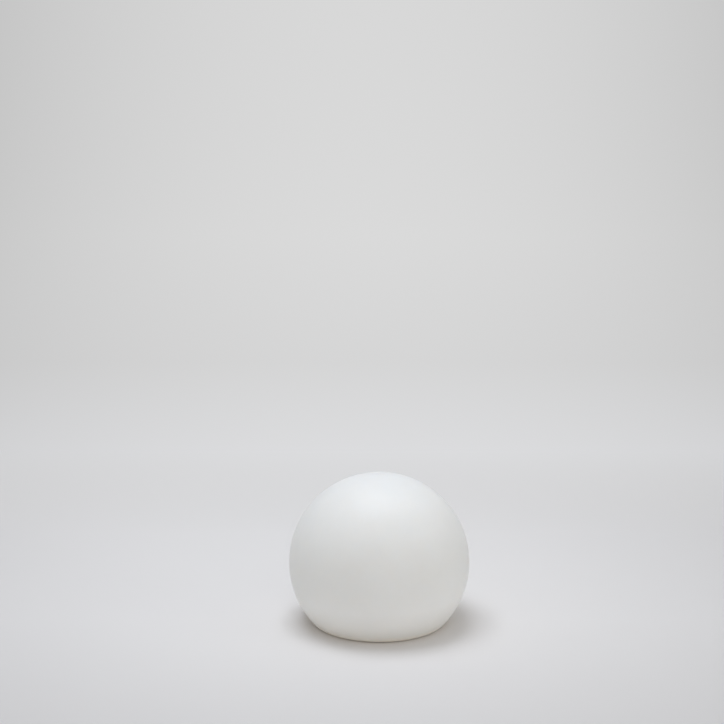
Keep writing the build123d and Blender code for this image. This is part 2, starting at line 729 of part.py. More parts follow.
# Base plate: panel recess, button guide, socket boss, board and battery posts, feet and screw holes
with BuildPart() as base_plate:
    turned(
        [
            (0, PLATE_LIFT),
            (plate_radius - PLATE_EDGE_RADIUS, PLATE_LIFT),
            (plate_radius, PLATE_LIFT + PLATE_EDGE_RADIUS),
            (plate_radius, plate_top),
            (platform_radius, plate_top),
            (platform_radius, platform_top),
            (0, platform_top),
        ]
    )
    discs([button_spot], guide_radius, PLATE_LIFT, guide_top - PLATE_LIFT)
    discs([jack_spot], jack_boss_radius, PLATE_LIFT, jack_boss_top - PLATE_LIFT)
    discs(standoff_spots, STANDOFF_RADIUS, PLATE_LIFT, board_bottom - PLATE_LIFT)
    discs(ear_spots, EAR_BOSS_RADIUS, PLATE_LIFT, ear_bottom - PLATE_LIFT)
    holes([(0, 0)], recess_panel_radius, PLATE_LIFT, backing_top - PLATE_LIFT)
    holes([button_spot], guide_bore, PLATE_LIFT, guide_top - PLATE_LIFT)
    with BuildSketch(cap_plane):
        Circle(CAP_RADIUS + CAP_GAP)
        knuckle_end = CAP_REACH + CAP_KNUCKLE_RADIUS + CAP_GAP
        with Locations((knuckle_end / 2, 0)):
            Rectangle(knuckle_end, CAP_STRAP_WIDTH + 2 * CAP_GAP)
    extrude(amount=cap_recess_top - PLATE_LIFT, mode=Mode.SUBTRACT)
    holes([jack_spot], jack_flange_hole_radius, PLATE_LIFT, washer_top - PLATE_LIFT)
    holes([jack_spot], jack_hole_radius, PLATE_LIFT, jack_boss_top - PLATE_LIFT)
    holes(foot_spots, FOOT_RADIUS + FOOT_GAP, PLATE_LIFT, FOOT_SINK)
    countersinks(
        plate_screw_spots,
        PLATE_LIFT,
        PLATE_SCREW_HEAD_RADIUS + SCREW_HOLE_GAP,
        PLATE_SCREW_RADIUS + SCREW_HOLE_GAP,
        PLATE_THICKNESS,
    )
    board_hole_depth = BOARD_SCREW_LENGTH - BOARD_THICKNESS + SCREW_HOLE_GAP
    holes(standoff_spots, BOARD_SCREW_RADIUS + INSERT_FIT, board_bottom, -board_hole_depth)
    ear_hole_depth = BOARD_SCREW_LENGTH - EAR_THICKNESS + SCREW_HOLE_GAP
    holes(ear_spots, BOARD_SCREW_RADIUS + INSERT_FIT, ear_bottom, -ear_hole_depth)
    solar_lead_spots = [(side * lead_half, solar_lead_y) for side in (-1, 1)]
    holes(solar_lead_spots, LEAD_RADIUS + LEAD_HOLE_GAP, backing_top, PLATFORM_CEILING)
save(base_plate, "base_plate")

with BuildPart() as plate_gasket:
    ring(skirt_inner_radius, skirt_radius, plate_top, PLATE_GASKET_THICKNESS)
save(plate_gasket, "plate_gasket")

with BuildPart() as plate_screws:
    flat_screws(
        plate_screw_spots,
        PLATE_LIFT,
        PLATE_SCREW_HEAD_RADIUS,
        PLATE_SCREW_RADIUS,
        PLATE_SCREW_LENGTH,
    )
save(plate_screws, "plate_screws")

with BuildPart() as foot_pads:
    discs(foot_spots, FOOT_RADIUS, 0, PLATE_LIFT + FOOT_SINK)
    fillet(foot_pads.edges().group_by(Axis.Z)[0], FOOT_EDGE_RADIUS)
save(foot_pads, "foot_pads")

# Solar panel: clear window, wafers in rows, ribbons along the wafers, backing board
wafer_field = math.sqrt(2) * (PANEL_RADIUS - PANEL_MARGIN)
wafer_length = (wafer_field - (WAFER_COLUMN_COUNT - 1) * WAFER_GAP) / WAFER_COLUMN_COUNT
wafer_width = (wafer_field - (WAFER_ROW_COUNT - 1) * WAFER_GAP) / WAFER_ROW_COUNT
column_pitch = wafer_length + WAFER_GAP
row_pitch = wafer_width + WAFER_GAP

with BuildPart() as solar_window:
    discs([(0, 0)], PANEL_RADIUS, window_bottom, WINDOW_THICKNESS)
save(solar_window, "solar_window")

with BuildPart() as solar_cells:
    with BuildSketch(Plane.XY.offset(wafer_bottom)):
        with GridLocations(column_pitch, row_pitch, WAFER_COLUMN_COUNT, WAFER_ROW_COUNT):
            Rectangle(wafer_length, wafer_width)
    extrude(amount=WAFER_THICKNESS)
save(solar_cells, "solar_cells")

with BuildPart() as cell_ribbons:
    with BuildSketch(Plane.XY.offset(window_top)):
        with GridLocations(column_pitch, 0, WAFER_COLUMN_COUNT, 1):
            Rectangle(RIBBON_WIDTH, wafer_field)
    extrude(amount=RIBBON_THICKNESS)
save(cell_ribbons, "cell_ribbons")

with BuildPart() as solar_backing:
    discs([(0, 0)], PANEL_RADIUS, wafer_top, BACKING_THICKNESS)
save(solar_backing, "solar_backing")

# Light: board with its chips, screws, grommet and dome
with BuildPart() as led_board:
    discs([(0, 0)], LED_BOARD_RADIUS, pedestal_top, LED_BOARD_THICKNESS)
    holes(led_screw_spots, LED_SCREW_RADIUS + SCREW_HOLE_GAP, pedestal_top, LED_BOARD_THICKNESS)
    holes([led_lead_spot], grommet_bore, pedestal_top, LED_BOARD_THICKNESS)
save(led_board, "led_board")

with BuildPart() as led_chips:
    with BuildSketch(Plane.XY.offset(led_board_top)):
        for circle, count, start in zip(LED_RING_RADII, LED_RING_COUNTS, LED_RING_STARTS):
            with PolarLocations(circle, count, start_angle=start):
                Rectangle(LED_SIZE, LED_SIZE)
    extrude(amount=LED_HEIGHT)
    with BuildSketch(Plane.XY.offset(led_board_top + LED_HEIGHT)):
        for circle, count, start in zip(LED_RING_RADII, LED_RING_COUNTS, LED_RING_STARTS):
            with PolarLocations(circle, count, start_angle=start):
                Circle(LED_LENS_RADIUS)
    extrude(amount=-LED_LENS_DEPTH, mode=Mode.SUBTRACT)
save(led_chips, "led_chips")

with BuildPart() as led_screws:
    pan_screws(
        led_screw_spots,
        led_board_top,
        LED_SCREW_HEAD_RADIUS,
        LED_SCREW_HEAD_HEIGHT,
        LED_SCREW_RADIUS,
        LED_SCREW_LENGTH,
    )
save(led_screws, "led_screws")

with BuildPart() as lead_grommet:
    discs([led_lead_spot], grommet_radius, deck_bottom, pedestal_top - deck_bottom)
    discs([led_lead_spot], grommet_radius + GROMMET_FLANGE, deck_bottom, -GROMMET_FLANGE_THICKNESS)
    grommet_bottom = deck_bottom - GROMMET_FLANGE_THICKNESS
    holes([led_lead_spot], grommet_bore, grommet_bottom, pedestal_top - grommet_bottom)
save(lead_grommet, "lead_grommet")

with BuildPart() as diffuser_dome:
    shoulder_x = DOME_RADIUS - DOME_SHOULDER_RADIUS
    shoulder_height = dome_top - DOME_SHOULDER_RADIUS
    with BuildSketch(Plane.XZ):
        with BuildLine():
            Polyline(
                (0, dome_top - DOME_WALL),
                (0, dome_top),
                (shoulder_x, dome_top),
            )
            CenterArc((shoulder_x, shoulder_height), DOME_SHOULDER_RADIUS, 90, -90)
            Polyline(
                (DOME_RADIUS, shoulder_height),
                (DOME_RADIUS, dome_flange_top),
                (dome_flange_radius, dome_flange_top),
                (dome_flange_radius, deck_top),
                (dome_inner_radius, deck_top),
                (dome_inner_radius, shoulder_height),
            )
            CenterArc((shoulder_x, shoulder_height), DOME_SHOULDER_RADIUS - DOME_WALL, 0, 90)
            Line((shoulder_x, dome_top - DOME_WALL), (0, dome_top - DOME_WALL))
        make_face()
    revolve(axis=Axis.Z)
    holes(dome_screw_spots, DOME_SCREW_RADIUS + SCREW_HOLE_GAP, deck_top, DOME_FLANGE_THICKNESS)
save(diffuser_dome, "diffuser_dome")

with BuildPart() as dome_seal:
    ring(
        dome_seal_inner + DOME_SEAL_FIT,
        dome_seal_outer - DOME_SEAL_FIT,
        deck_top - DOME_SEAL_DEPTH,
        DOME_SEAL_DEPTH,
    )
save(dome_seal, "dome_seal")

with BuildPart() as dome_screws:
    pan_screws(
        dome_screw_spots,
        dome_flange_top,
        DOME_SCREW_HEAD_RADIUS,
        DOME_SCREW_HEAD_HEIGHT,
        DOME_SCREW_RADIUS,
        DOME_SCREW_LENGTH,
    )
save(dome_screws, "dome_screws")

# Battery: two cells side by side in a tray, joined at one end and strapped down
cell_ys = (front_cell_y, back_cell_y)

with BuildPart() as battery_holder:
    with BuildSketch(Plane.XY.offset(platform_top)):
        with Locations((0, tray_middle_y)):
            Rectangle(2 * tray_half_length, tray_depth)
    extrude(amount=TRAY_HEIGHT)
    with BuildSketch(Plane.XY.offset(ear_bottom)):
        with Locations((0, tray_middle_y)):
            Rectangle(2 * (tray_half_length + EAR_LENGTH), 2 * EAR_BOSS_RADIUS)
    extrude(amount=EAR_THICKNESS)
    with BuildSketch(Plane.YZ.offset(-tray_inner_half)):
        with Locations(*[(y, cell_axis_height) for y in cell_ys]):
            Circle(CELL_RADIUS + CELL_GAP)
        with Locations((tray_middle_y, cell_axis_height)):
            Rectangle(back_cell_y - front_cell_y, CELL_RADIUS, align=(Align.CENTER, Align.MIN))
    extrude(amount=2 * tray_inner_half, mode=Mode.SUBTRACT)
    end_room_x = (CELL_LENGTH / 2 + tray_inner_half) / 2
    with BuildSketch(Plane.XY.offset(platform_top + TRAY_FLOOR)):
        with Locations((-end_room_x, tray_middle_y), (end_room_x, tray_middle_y)):
            Rectangle(TRAY_END_ROOM, tray_depth - 2 * TRAY_WALL)
    extrude(amount=TRAY_HEIGHT, mode=Mode.SUBTRACT)
    holes(ear_spots, BOARD_SCREW_RADIUS + SCREW_HOLE_GAP, ear_bottom, EAR_THICKNESS)
save(battery_holder, "battery_holder")

with BuildPart() as battery_cells:
    half_body = CELL_LENGTH / 2 - CELL_BUTTON_HEIGHT
    with BuildSketch(Plane.YZ.offset(-half_body)):
        with Locations(*[(y, cell_axis_height) for y in cell_ys]):
            Circle(CELL_RADIUS)
    extrude(amount=2 * half_body)
    fillet(battery_cells.edges().filter_by(GeomType.CIRCLE), CELL_EDGE_RADIUS)
    with BuildSketch(Plane.YZ.offset(-CELL_LENGTH / 2)):
        with Locations(*[(y, cell_axis_height) for y in cell_ys]):
            Circle(CELL_BUTTON_RADIUS)
    extrude(amount=CELL_LENGTH)
save(battery_cells, "battery_cells")

with BuildPart() as battery_tabs:
    with BuildSketch(Plane.YZ.offset(CELL_LENGTH / 2)):
        with Locations(*[(y, cell_axis_height) for y in cell_ys]):
            Rectangle(TAB_STRIP_WIDTH, TAB_STRIP_WIDTH)
    extrude(amount=TAB_STRIP_THICKNESS)
    with BuildSketch(Plane.YZ.offset(-CELL_LENGTH / 2)):
        with Locations((tray_middle_y, cell_axis_height)):
            Rectangle(back_cell_y - front_cell_y + TAB_STRIP_WIDTH, TAB_STRIP_WIDTH)
    extrude(amount=-TAB_STRIP_THICKNESS)
save(battery_tabs, "battery_tabs")

with BuildPart() as battery_strap:
    strap_leg_bottom = strap_top - STRAP_LEG
    with BuildSketch(Plane.YZ):
        with Locations((tray_middle_y, strap_leg_bottom)):
            Rectangle(tray_depth + 2 * STRAP_THICKNESS, STRAP_LEG, align=(Align.CENTER, Align.MIN))
            Rectangle(
                tray_depth, STRAP_LEG - STRAP_THICKNESS, align=(Align.CENTER, Align.MIN), mode=Mode.SUBTRACT
            )
    extrude(amount=STRAP_WIDTH / 2, both=True)
save(battery_strap, "battery_strap")

with BuildPart() as battery_screws:
    pan_screws(
        ear_spots,
        ear_top,
        BOARD_SCREW_HEAD_RADIUS,
        BOARD_SCREW_HEAD_HEIGHT,
        BOARD_SCREW_RADIUS,
        BOARD_SCREW_LENGTH,
    )
save(battery_screws, "battery_screws")

# Main board and its parts
with BuildPart() as main_board:
    with BuildSketch(Plane.XY.offset(board_bottom)):
        with Locations((0, board_middle_y)):
            RectangleRounded(BOARD_WIDTH, BOARD_DEPTH, BOARD_CORNER_RADIUS)
        tab_depth = board_middle_y - board_tab_y
        with Locations((0, (board_middle_y + board_tab_y) / 2)):
            RectangleRounded(BOARD_TAB_WIDTH, tab_depth, BOARD_CORNER_RADIUS)
    extrude(amount=BOARD_THICKNESS)
    holes(standoff_spots, BOARD_SCREW_RADIUS + SCREW_HOLE_GAP, board_bottom, BOARD_THICKNESS)
    holes([jack_spot], JACK_PIN_RADIUS + JACK_PIN_FIT, board_bottom, BOARD_THICKNESS)
save(main_board, "main_board")

with BuildPart() as board_screws:
    pan_screws(
        standoff_spots,
        board_top,
        BOARD_SCREW_HEAD_RADIUS,
        BOARD_SCREW_HEAD_HEIGHT,
        BOARD_SCREW_RADIUS,
        BOARD_SCREW_LENGTH,
    )
save(board_screws, "board_screws")

with BuildPart() as board_chips:
    for (chip_x, chip_y), (chip_width, chip_depth, chip_height) in zip(CHIP_SPOTS, CHIP_SIZES):
        with Locations((chip_x, chip_y, board_top)):
            Box(chip_width, chip_depth, chip_height, align=(Align.CENTER, Align.CENTER, Align.MIN))
save(board_chips, "board_chips")

with BuildPart() as board_inductor:
    with Locations((INDUCTOR_SPOT[0], INDUCTOR_SPOT[1], board_top)):
        Box(INDUCTOR_SIZE, INDUCTOR_SIZE, INDUCTOR_HEIGHT, align=(Align.CENTER, Align.CENTER, Align.MIN))
save(board_inductor, "board_inductor")

with BuildPart() as board_capacitors:
    discs(CAPACITOR_SPOTS, CAPACITOR_RADIUS, board_top, CAPACITOR_HEIGHT)
save(board_capacitors, "board_capacitors")

with BuildPart() as board_connectors:
    with Locations(*[(x, y, board_top) for x, y in connector_spots]):
        Box(*CONNECTOR_SIZE, align=(Align.CENTER, Align.CENTER, Align.MIN))
save(board_connectors, "board_connectors")

# Power button with its seal, the switch and its plunger
button_seal_height = (PLATE_LIFT + guide_top) / 2
button_seal_bottom = button_seal_height - BUTTON_GROOVE_WIDTH / 2
button_plane = Plane(origin=(button_spot[0], button_spot[1], 0))

with BuildPart() as power_button:
    discs([button_spot], BUTTON_RADIUS, button_bottom, button_flange_bottom - button_bottom)
    fillet(power_button.edges().group_by(Axis.Z)[0], BUTTON_EDGE_RADIUS)
    discs([button_spot], BUTTON_RADIUS + BUTTON_FLANGE, button_flange_bottom, BUTTON_FLANGE_THICKNESS)
    discs([button_spot], STEM_RADIUS, button_flange_top, STEM_LENGTH)
    with BuildSketch(button_plane.offset(button_seal_bottom)):
        Circle(BUTTON_RADIUS)
        Circle(BUTTON_RADIUS - BUTTON_GROOVE_DEPTH, mode=Mode.SUBTRACT)
    extrude(amount=BUTTON_GROOVE_WIDTH, mode=Mode.SUBTRACT)
save(power_button, "power_button")

with BuildPart() as button_oring:
    with BuildSketch(button_plane.offset(button_seal_bottom)):
        Circle(guide_bore - BUTTON_SEAL_GAP)
        Circle(BUTTON_RADIUS - BUTTON_GROOVE_DEPTH, mode=Mode.SUBTRACT)
    extrude(amount=BUTTON_GROOVE_WIDTH)
save(button_oring, "button_oring")

with BuildPart() as tact_switch:
    with Locations((button_spot[0], button_spot[1], switch_bottom)):
        Box(SWITCH_SIZE, SWITCH_SIZE, SWITCH_HEIGHT, align=(Align.CENTER, Align.CENTER, Align.MIN))
    plunger_room = PLUNGER_HIDDEN + BUTTON_TRAVEL + PLUNGER_GAP
    holes([button_spot], PLUNGER_RADIUS + PLUNGER_GAP, switch_bottom, plunger_room)
save(tact_switch, "tact_switch")

with BuildPart() as switch_plunger:
    discs([button_spot], PLUNGER_RADIUS, plunger_bottom, PLUNGER_PROUD + PLUNGER_HIDDEN)
save(switch_plunger, "switch_plunger")

# Charging socket, clamped through the base plate, and its hinged rubber cap
with BuildPart() as charge_jack:
    discs([jack_spot], JACK_FLANGE_RADIUS, cap_recess_top, JACK_FLANGE_THICKNESS)
    discs([jack_spot], JACK_THREAD_RADIUS, jack_flange_top, nut_top - jack_flange_top)
    discs([jack_spot], JACK_REAR_RADIUS, nut_top, jack_rear_top - nut_top)
    holes([jack_spot], JACK_BORE_RADIUS, cap_recess_top, jack_bore_top - cap_recess_top)
    holes([jack_spot], JACK_PIN_RADIUS + JACK_PIN_FIT, jack_bore_top, JACK_END_WALL)
save(charge_jack, "charge_jack")

with BuildPart() as jack_pin:
    pin_bottom = cap_recess_top + JACK_PIN_SINK
    discs([jack_spot], JACK_PIN_RADIUS, pin_bottom, board_top + JACK_PIN_SOLDER - pin_bottom)
save(jack_pin, "jack_pin")

with BuildPart() as jack_washer:
    with BuildSketch(Plane.XY.offset(jack_flange_top)):
        with Locations(jack_spot):
            Circle(JACK_FLANGE_RADIUS)
            Circle(jack_hole_radius, mode=Mode.SUBTRACT)
    extrude(amount=WASHER_THICKNESS)
save(jack_washer, "jack_washer")

with BuildPart() as jack_nut:
    with BuildSketch(Plane.XY.offset(jack_boss_top)):
        with Locations(jack_spot):
            RegularPolygon(nut_corner_radius, 6)
            Circle(JACK_THREAD_RADIUS + NUT_GAP, mode=Mode.SUBTRACT)
    extrude(amount=NUT_THICKNESS)
save(jack_nut, "jack_nut")

with BuildPart() as port_cap:
    with BuildSketch(cap_plane):
        Circle(CAP_RADIUS)
        with Locations((CAP_REACH / 2, 0)):
            Rectangle(CAP_REACH, CAP_STRAP_WIDTH)
    extrude(amount=CAP_THICKNESS)
    with BuildSketch(cap_plane.offset(CAP_THICKNESS)):
        Circle(CAP_PLUG_RADIUS)
    extrude(amount=CAP_PLUG_LENGTH)
    knuckle_direction = cap_plane.y_dir
    knuckle_plane = Plane(origin=cap_hinge, z_dir=knuckle_direction)
    with BuildSketch(knuckle_plane):
        Circle(CAP_KNUCKLE_RADIUS)
    extrude(amount=CAP_STRAP_WIDTH / 2, both=True)
save(port_cap, "port_cap")

# Leads
with BuildPart() as solar_leads:
    for side in (-1, 1):
        start_x = side * lead_half
        end_x = solar_connector_x + side * lead_half
        lead(
            [
                (start_x, solar_lead_y, backing_top),
                (start_x, solar_lead_y, lead_level),
                (end_x, connector_y, lead_level),
                (end_x, connector_y, connector_top),
            ],
            LEAD_BEND,
        )
save(solar_leads, "solar_leads")

with BuildPart() as battery_leads:
    tab_lead_x = CELL_LENGTH / 2 + TAB_STRIP_THICKNESS + LEAD_RADIUS
    lead(
        [
            (tab_lead_x, front_cell_y, cell_axis_height),
            (tab_lead_x, front_cell_y, lead_level),
            (battery_connector_x - lead_half, connector_y, lead_level),
            (battery_connector_x - lead_half, connector_y, connector_top),
        ],
        LEAD_BEND,
    )
    lead(
        [
            (tab_lead_x, back_cell_y, cell_axis_height),
            (tab_lead_x, back_cell_y, lead_level),
            (tab_lead_x + LEAD_PITCH, front_cell_y, lead_level),
            (battery_connector_x + lead_half, connector_y, lead_level),
            (battery_connector_x + lead_half, connector_y, connector_top),
        ],
        LEAD_BEND,
    )
save(battery_leads, "battery_leads")

with BuildPart() as led_leads:
    loop_height = led_board_top + LED_LEAD_LOOP
    for side in (-1, 1):
        riser_x = side * LED_LEAD_PITCH / 2
        pad_x = side * (LED_LEAD_PITCH / 2 + LED_LEAD_REACH)
        lead(
            [
                (riser_x, connector_y, connector_top),
                (riser_x, connector_y, loop_height),
                (pad_x, connector_y, loop_height),
                (pad_x, connector_y, led_board_top),
            ],
            LED_LEAD_BEND,
        )
save(led_leads, "led_leads")

print(f"globe centre {globe_centre:.2f}, globe top {globe_top:.2f}, foot radius {flat_radius:.2f}")
print(f"barrel radius {barrel_radius:.2f}, control circle {control_circle:.2f}, dome top {dome_top:.2f}")
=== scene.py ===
import math

import bmesh
import bpy
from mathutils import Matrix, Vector


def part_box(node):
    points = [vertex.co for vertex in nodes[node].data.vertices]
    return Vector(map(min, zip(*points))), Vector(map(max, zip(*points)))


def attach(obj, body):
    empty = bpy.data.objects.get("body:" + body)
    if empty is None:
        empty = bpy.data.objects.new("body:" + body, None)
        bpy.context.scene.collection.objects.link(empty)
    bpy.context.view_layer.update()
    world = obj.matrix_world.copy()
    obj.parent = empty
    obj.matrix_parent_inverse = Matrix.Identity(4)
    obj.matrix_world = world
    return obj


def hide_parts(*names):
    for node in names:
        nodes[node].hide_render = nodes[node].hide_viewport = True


# Solar ball lamp on a pale paper sweep. Metres, +Z up, origin on the floor under the lamp.
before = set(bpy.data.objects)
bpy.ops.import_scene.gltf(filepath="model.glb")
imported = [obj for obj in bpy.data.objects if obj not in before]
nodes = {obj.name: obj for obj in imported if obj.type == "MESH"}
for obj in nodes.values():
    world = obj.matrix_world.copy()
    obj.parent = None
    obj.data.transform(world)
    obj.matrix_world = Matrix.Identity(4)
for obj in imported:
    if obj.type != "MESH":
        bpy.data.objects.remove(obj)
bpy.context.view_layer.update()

# Tests on places and directions
NEAR = 0.00001
FACING = 0.9

# Steps of a rounded edge
BEVEL_SEGMENTS = 3
SOFT_EDGE_SEGMENTS = 2

# Globe: a ball that turns in at its foot, with a recess for the base and bosses for the brass inserts
GLOBE_WALL = 0.003
FOOT_LIFT = 0.0003
FOOT_EDGE_RADIUS = 0.012
FOOT_EDGE_STEPS = 10
RECESS_RADIUS = 0.0988
LIP_RADIUS = 0.003
LIP_STEPS = 6
SEAT_HEIGHT = 0.0164
SEAT_CORNER_RADIUS = 0.002
SEAT_CORNER_STEPS = 4
MOUTH_RADIUS = 0.0772
BOSS_RADIUS = 0.007
BOSS_TOP = 0.028
BOSS_BEVEL = 0.0012
BOSS_CIRCLE = 0.08755
BOSS_COUNT = 6
BOSS_START = math.radians(30)
INSERT_HOLE_RADIUS = 0.00345
INSERT_HOLE_DEPTH = 0.008
CUT_MERGE = 0.00001
GLOBE_SEGMENTS = 192
GLOBE_RINGS = 120
POST_SEGMENTS = 32

# Globe tones by height, both painted shade: a little darker towards the foot, and creamy on the foot edge
GLOBE_FOOT_PAINTED_SHADE = (0.828, 0.811, 0.770)
GLOBE_FOOT_PAINTED_SHADE_SPAN = (0.002, 0.060)
GLOBE_EDGE_PAINTED_WARM_SHADE = (0.915, 0.855, 0.775)
GLOBE_EDGE_PAINTED_WARM_SHADE_SPAN = (0.003, 0.013)

# Chip lamps: rings as radius, count and first turn; the dome of a lens in shares of its radius and rise
LED_SIZE = 0.005
LED_RINGS = ((0.008, 6, 0.0), (0.0205, 12, math.radians(15)))
LENS_RADIUS = 0.00185
LENS_SINK = 0.0003
LENS_RISE = 0.0006
LENS_DOME = ((0.92, 0.45), (0.70, 0.78), (0.38, 0.95), (0.08, 1.0))
LENS_SEGMENTS = 20
LED_SOLDER_LENGTH = 0.0036
LED_SOLDER_REACH = 0.0006
LED_SOLDER_RISE = 0.0009
LED_SOLDER_ROUNDING = 0.85

# Solder round upright pins, as spread and rise; its flank in shares of these
SOLDER_FLANK = ((1.0, 0.0), (0.94, 0.08), (0.72, 0.38), (0.60, 0.72), (0.52, 0.93), (0.36, 1.0))
SOLDER_SEGMENTS = 20
LED_LEAD_PADS = ((-0.0058, -0.0145), (0.0058, -0.0145))
LED_LEAD_SOLDER = (0.0015, 0.0012)
SOCKET_PIN_SOLDER = (0.0020, 0.0010)
SWITCH_LEG_REACH = (0.0022, 0.0033)
SWITCH_LEG_SOLDER = (0.0008, 0.0006)

# Chips of the main board, as place, size and legs on each side; legs leave at a share of the chip's height
CHIPS = (
    ((-0.013, -0.030), (0.0100, 0.0074, 0.0018), 7),
    ((0.006, -0.036), (0.0064, 0.0052, 0.0015), 4),
)
LEG_PITCH = 0.00127
LEG_WIDTH = 0.00042
LEG_THICKNESS = 0.0002
LEG_REACH = 0.0008
LEG_HEIGHT = 0.45
LEG_BEND = 0.35
LEG_SOLE = 0.6

# Connectors
CONNECTOR_SPOTS = (-0.018, 0.0, 0.018)
CONNECTOR_RIM = 0.0007
CONNECTOR_RIM_RISE = 0.0008
CONNECTOR_ENTRY = 0.001
CONNECTOR_EDGE = 0.00018

# Capacitors: shares of the radius, with heights over the board and then below the top
CAPACITOR_SPOTS = ((-0.0265, -0.024), (-0.0265, -0.035))
CAPACITOR_RADIUS = 0.004
CAPACITOR_FOOT = (
    (0.92, 0.0), (1.0, 0.0003), (1.0, 0.0011), (0.90, 0.0015), (0.90, 0.0018), (1.0, 0.0022)
)
CAPACITOR_TOP = ((1.0, 0.0006), (0.97, 0.0002), (0.90, 0.0), (0.78, 0.0), (0.74, 0.0004))
CAPACITOR_SEGMENTS = 40

# Inductor: shares of half its width, and for the drum also depths below the top
INDUCTOR_CORNER = 0.30
INDUCTOR_WALL = 0.22
INDUCTOR_SINK = 0.0008
INDUCTOR_DRUM = ((0.56, 0.0010), (0.56, 0.00035), (0.50, 0.00005), (0.30, 0.00005), (0.27, 0.00025))
INDUCTOR_SEGMENTS = 32

# Chip resistors
RESISTOR_SIZE = (0.0020, 0.0012, 0.0006)
RESISTOR_CAP = 0.0004
RESISTOR_CAP_GROWTH = 1.04
RESISTOR_CAP_EDGE = 0.00008
RESISTOR_TOP_RIM = 0.12
RESISTOR_TOP_SINK = 0.05
RESISTOR_SPOTS = (
    (-0.004, -0.026),
    (-0.004, -0.0285),
    (-0.004, -0.031),
    (0.001, -0.028),
    (0.005, -0.028),
    (0.009, -0.028),
    (0.013, -0.037),
    (0.013, -0.0395),
    (0.013, -0.042),
    (-0.0195, -0.043),
    (-0.0155, -0.043),
)

# Paper washers on the cells
CELL_AXES = ((0.0135, 0.0189), (0.0329, 0.0189))
CELL_BUTTON = 0.0008
WASHER_RADII = (0.0036, 0.0044, 0.0080)
WASHER_GAP = 0.00003
WASHER_THICKNESS = 0.0002
WASHER_SEGMENTS = 40

# Feet and button: rounded edges as (in from the side, up from the face), insets as (width, rise)
FOOT_COUNT = 4
FOOT_START = math.radians(45)
FOOT_RADIUS = 0.007
FOOT_ROUNDING = ((0.0006, 0.0), (0.0002, 0.0002), (0.0, 0.0006))
FOOT_TOP_BEVEL = 0.0001
FOOT_GROOVES = 3
FOOT_GROOVE = ((0.0009, 0.0), (0.0002, -0.0004), (0.0004, 0.0), (0.0002, 0.0004))
FOOT_SEGMENTS = 48
BUTTON_RADIUS = 0.0065
BUTTON_ROUNDING = ((0.0006, 0.0), (0.00018, 0.00018), (0.0, 0.0006))
BUTTON_DISH = ((0.0008, 0.0), (0.0007, -0.00012), (0.0012, -0.00010), (0.0016, -0.00006))
BUTTON_GROOVE_RADIUS = 0.0052
BUTTON_FLANGE_RADIUS = 0.0076
BUTTON_FLANGE_THICKNESS = 0.001
BUTTON_SEGMENTS = 64
STEM_RADIUS = 0.002
STEM_LENGTH = 0.0021
STEM_BEVEL = 0.0002

# Half the width of the border between the colours of two leads
LEAD_BORDER = 0.00002

# Camera, set from the outline of the ball in the photograph
IMAGE_WIDTH = 724
FOCAL_PIXELS = 3000
SENSOR_WIDTH = 36.0
CAMERA_PLACE = (-0.0287, -4.727, 1.767)
CAMERA_TILT = math.radians(90 - 15.591)
CAMERA_REACH = 50

# Light by the sine of its height: a plain floor, pale walls, a dim band above them and a pale ceiling
ROOM_TONES = (
    (0.00, (0.45, 0.45, 0.45)),
    (0.02, (1.03, 0.99, 0.88)),
    (0.26, (1.03, 0.99, 0.88)),
    (0.36, (0.02, 0.02, 0.02)),
    (0.54, (0.02, 0.02, 0.02)),
    (0.66, (0.59, 0.60, 0.62)),
)
ROOM_SEEN_COLOUR = (0.66, 0.66, 0.66)

# Softboxes: name, place, aim, width and depth, watts, colour
SOFTBOXES = (
    ("top_softbox", (-0.32, 0.18, 2.4), (-0.32, 0.18, 0), (1.3, 1.2), 26.1, (0.942, 0.987, 1.055)),
    ("right_fill", (2.4, -1.0, 1.2), (0, 0, 0.1), (1.5, 1.5), 5.8, (1.0, 1.02, 0.99)),
    ("front_fill", (1.1, -4.1, 1.2), (0, 0, 0.1), (2.0, 2.0), 16.8, (1.0, 0.935, 0.92)),
)

# Paper sweep, and how its painted shade falls off to the front and the sides; sides are given as the square
# of the distance
SWEEP_HALF_WIDTH = 9.0
SWEEP_FRONT = -9.0
SWEEP_BEND_START = 2.7
SWEEP_BEND_RADIUS = 0.9
SWEEP_BEND_STEPS = 24
SWEEP_TOP = 3.6
PAPER_COLOUR = (0.797, 0.783, 0.778)
PAPER_FRONT_PAINTED_SHADE = 0.895
PAPER_FRONT = -0.55
PAPER_SIDE_PAINTED_SHADE = 0.90
PAPER_SIDE = 0.5
# Painted light: the far paper behind the lamp glows at these tones, darker in a band and towards the sides
BACKDROP_DEPTH = 3.6
BACKDROP_PAINTED_TONES = (
    (0.90, (0.715, 0.718, 0.732)),
    (1.60, (0.668, 0.668, 0.670)),
    (2.80, (0.700, 0.700, 0.700)),
    (3.50, (0.686, 0.686, 0.686)),
)
BACKDROP_SIDE_PAINTED_SHADE = 0.80
BACKDROP_SIDE = 1.2
FAR_BEHIND = (0.45, 0.95)
FAR_AROUND = (0.6, 3.0)
BLACK = (0.0, 0.0, 0.0)

# Shader nodes: the colour sockets of a mix, and the length of a wave at a scale of 1
MIX_COLOURS_IN = (6, 7)
MIX_COLOUR_OUT = 2
WAVE_LENGTH = math.pi / 10


def deselect_all():
    bpy.ops.object.select_all(action="DESELECT")


def choose(piece):
    """Select one piece and nothing else, and make it the active one."""
    deselect_all()
    piece.select_set(True)
    bpy.context.view_layer.objects.active = piece


def settle(piece):
    """Put the piece's place and size into its mesh."""
    choose(piece)
    bpy.ops.object.transform_apply(location=True, rotation=True, scale=True)


def added(size=(1, 1, 1)):
    """The primitive that was just added, with its place and size in its mesh."""
    piece = bpy.context.object
    piece.scale = size
    settle(piece)
    return piece


def remove(piece):
    bpy.data.objects.remove(piece, do_unlink=True)


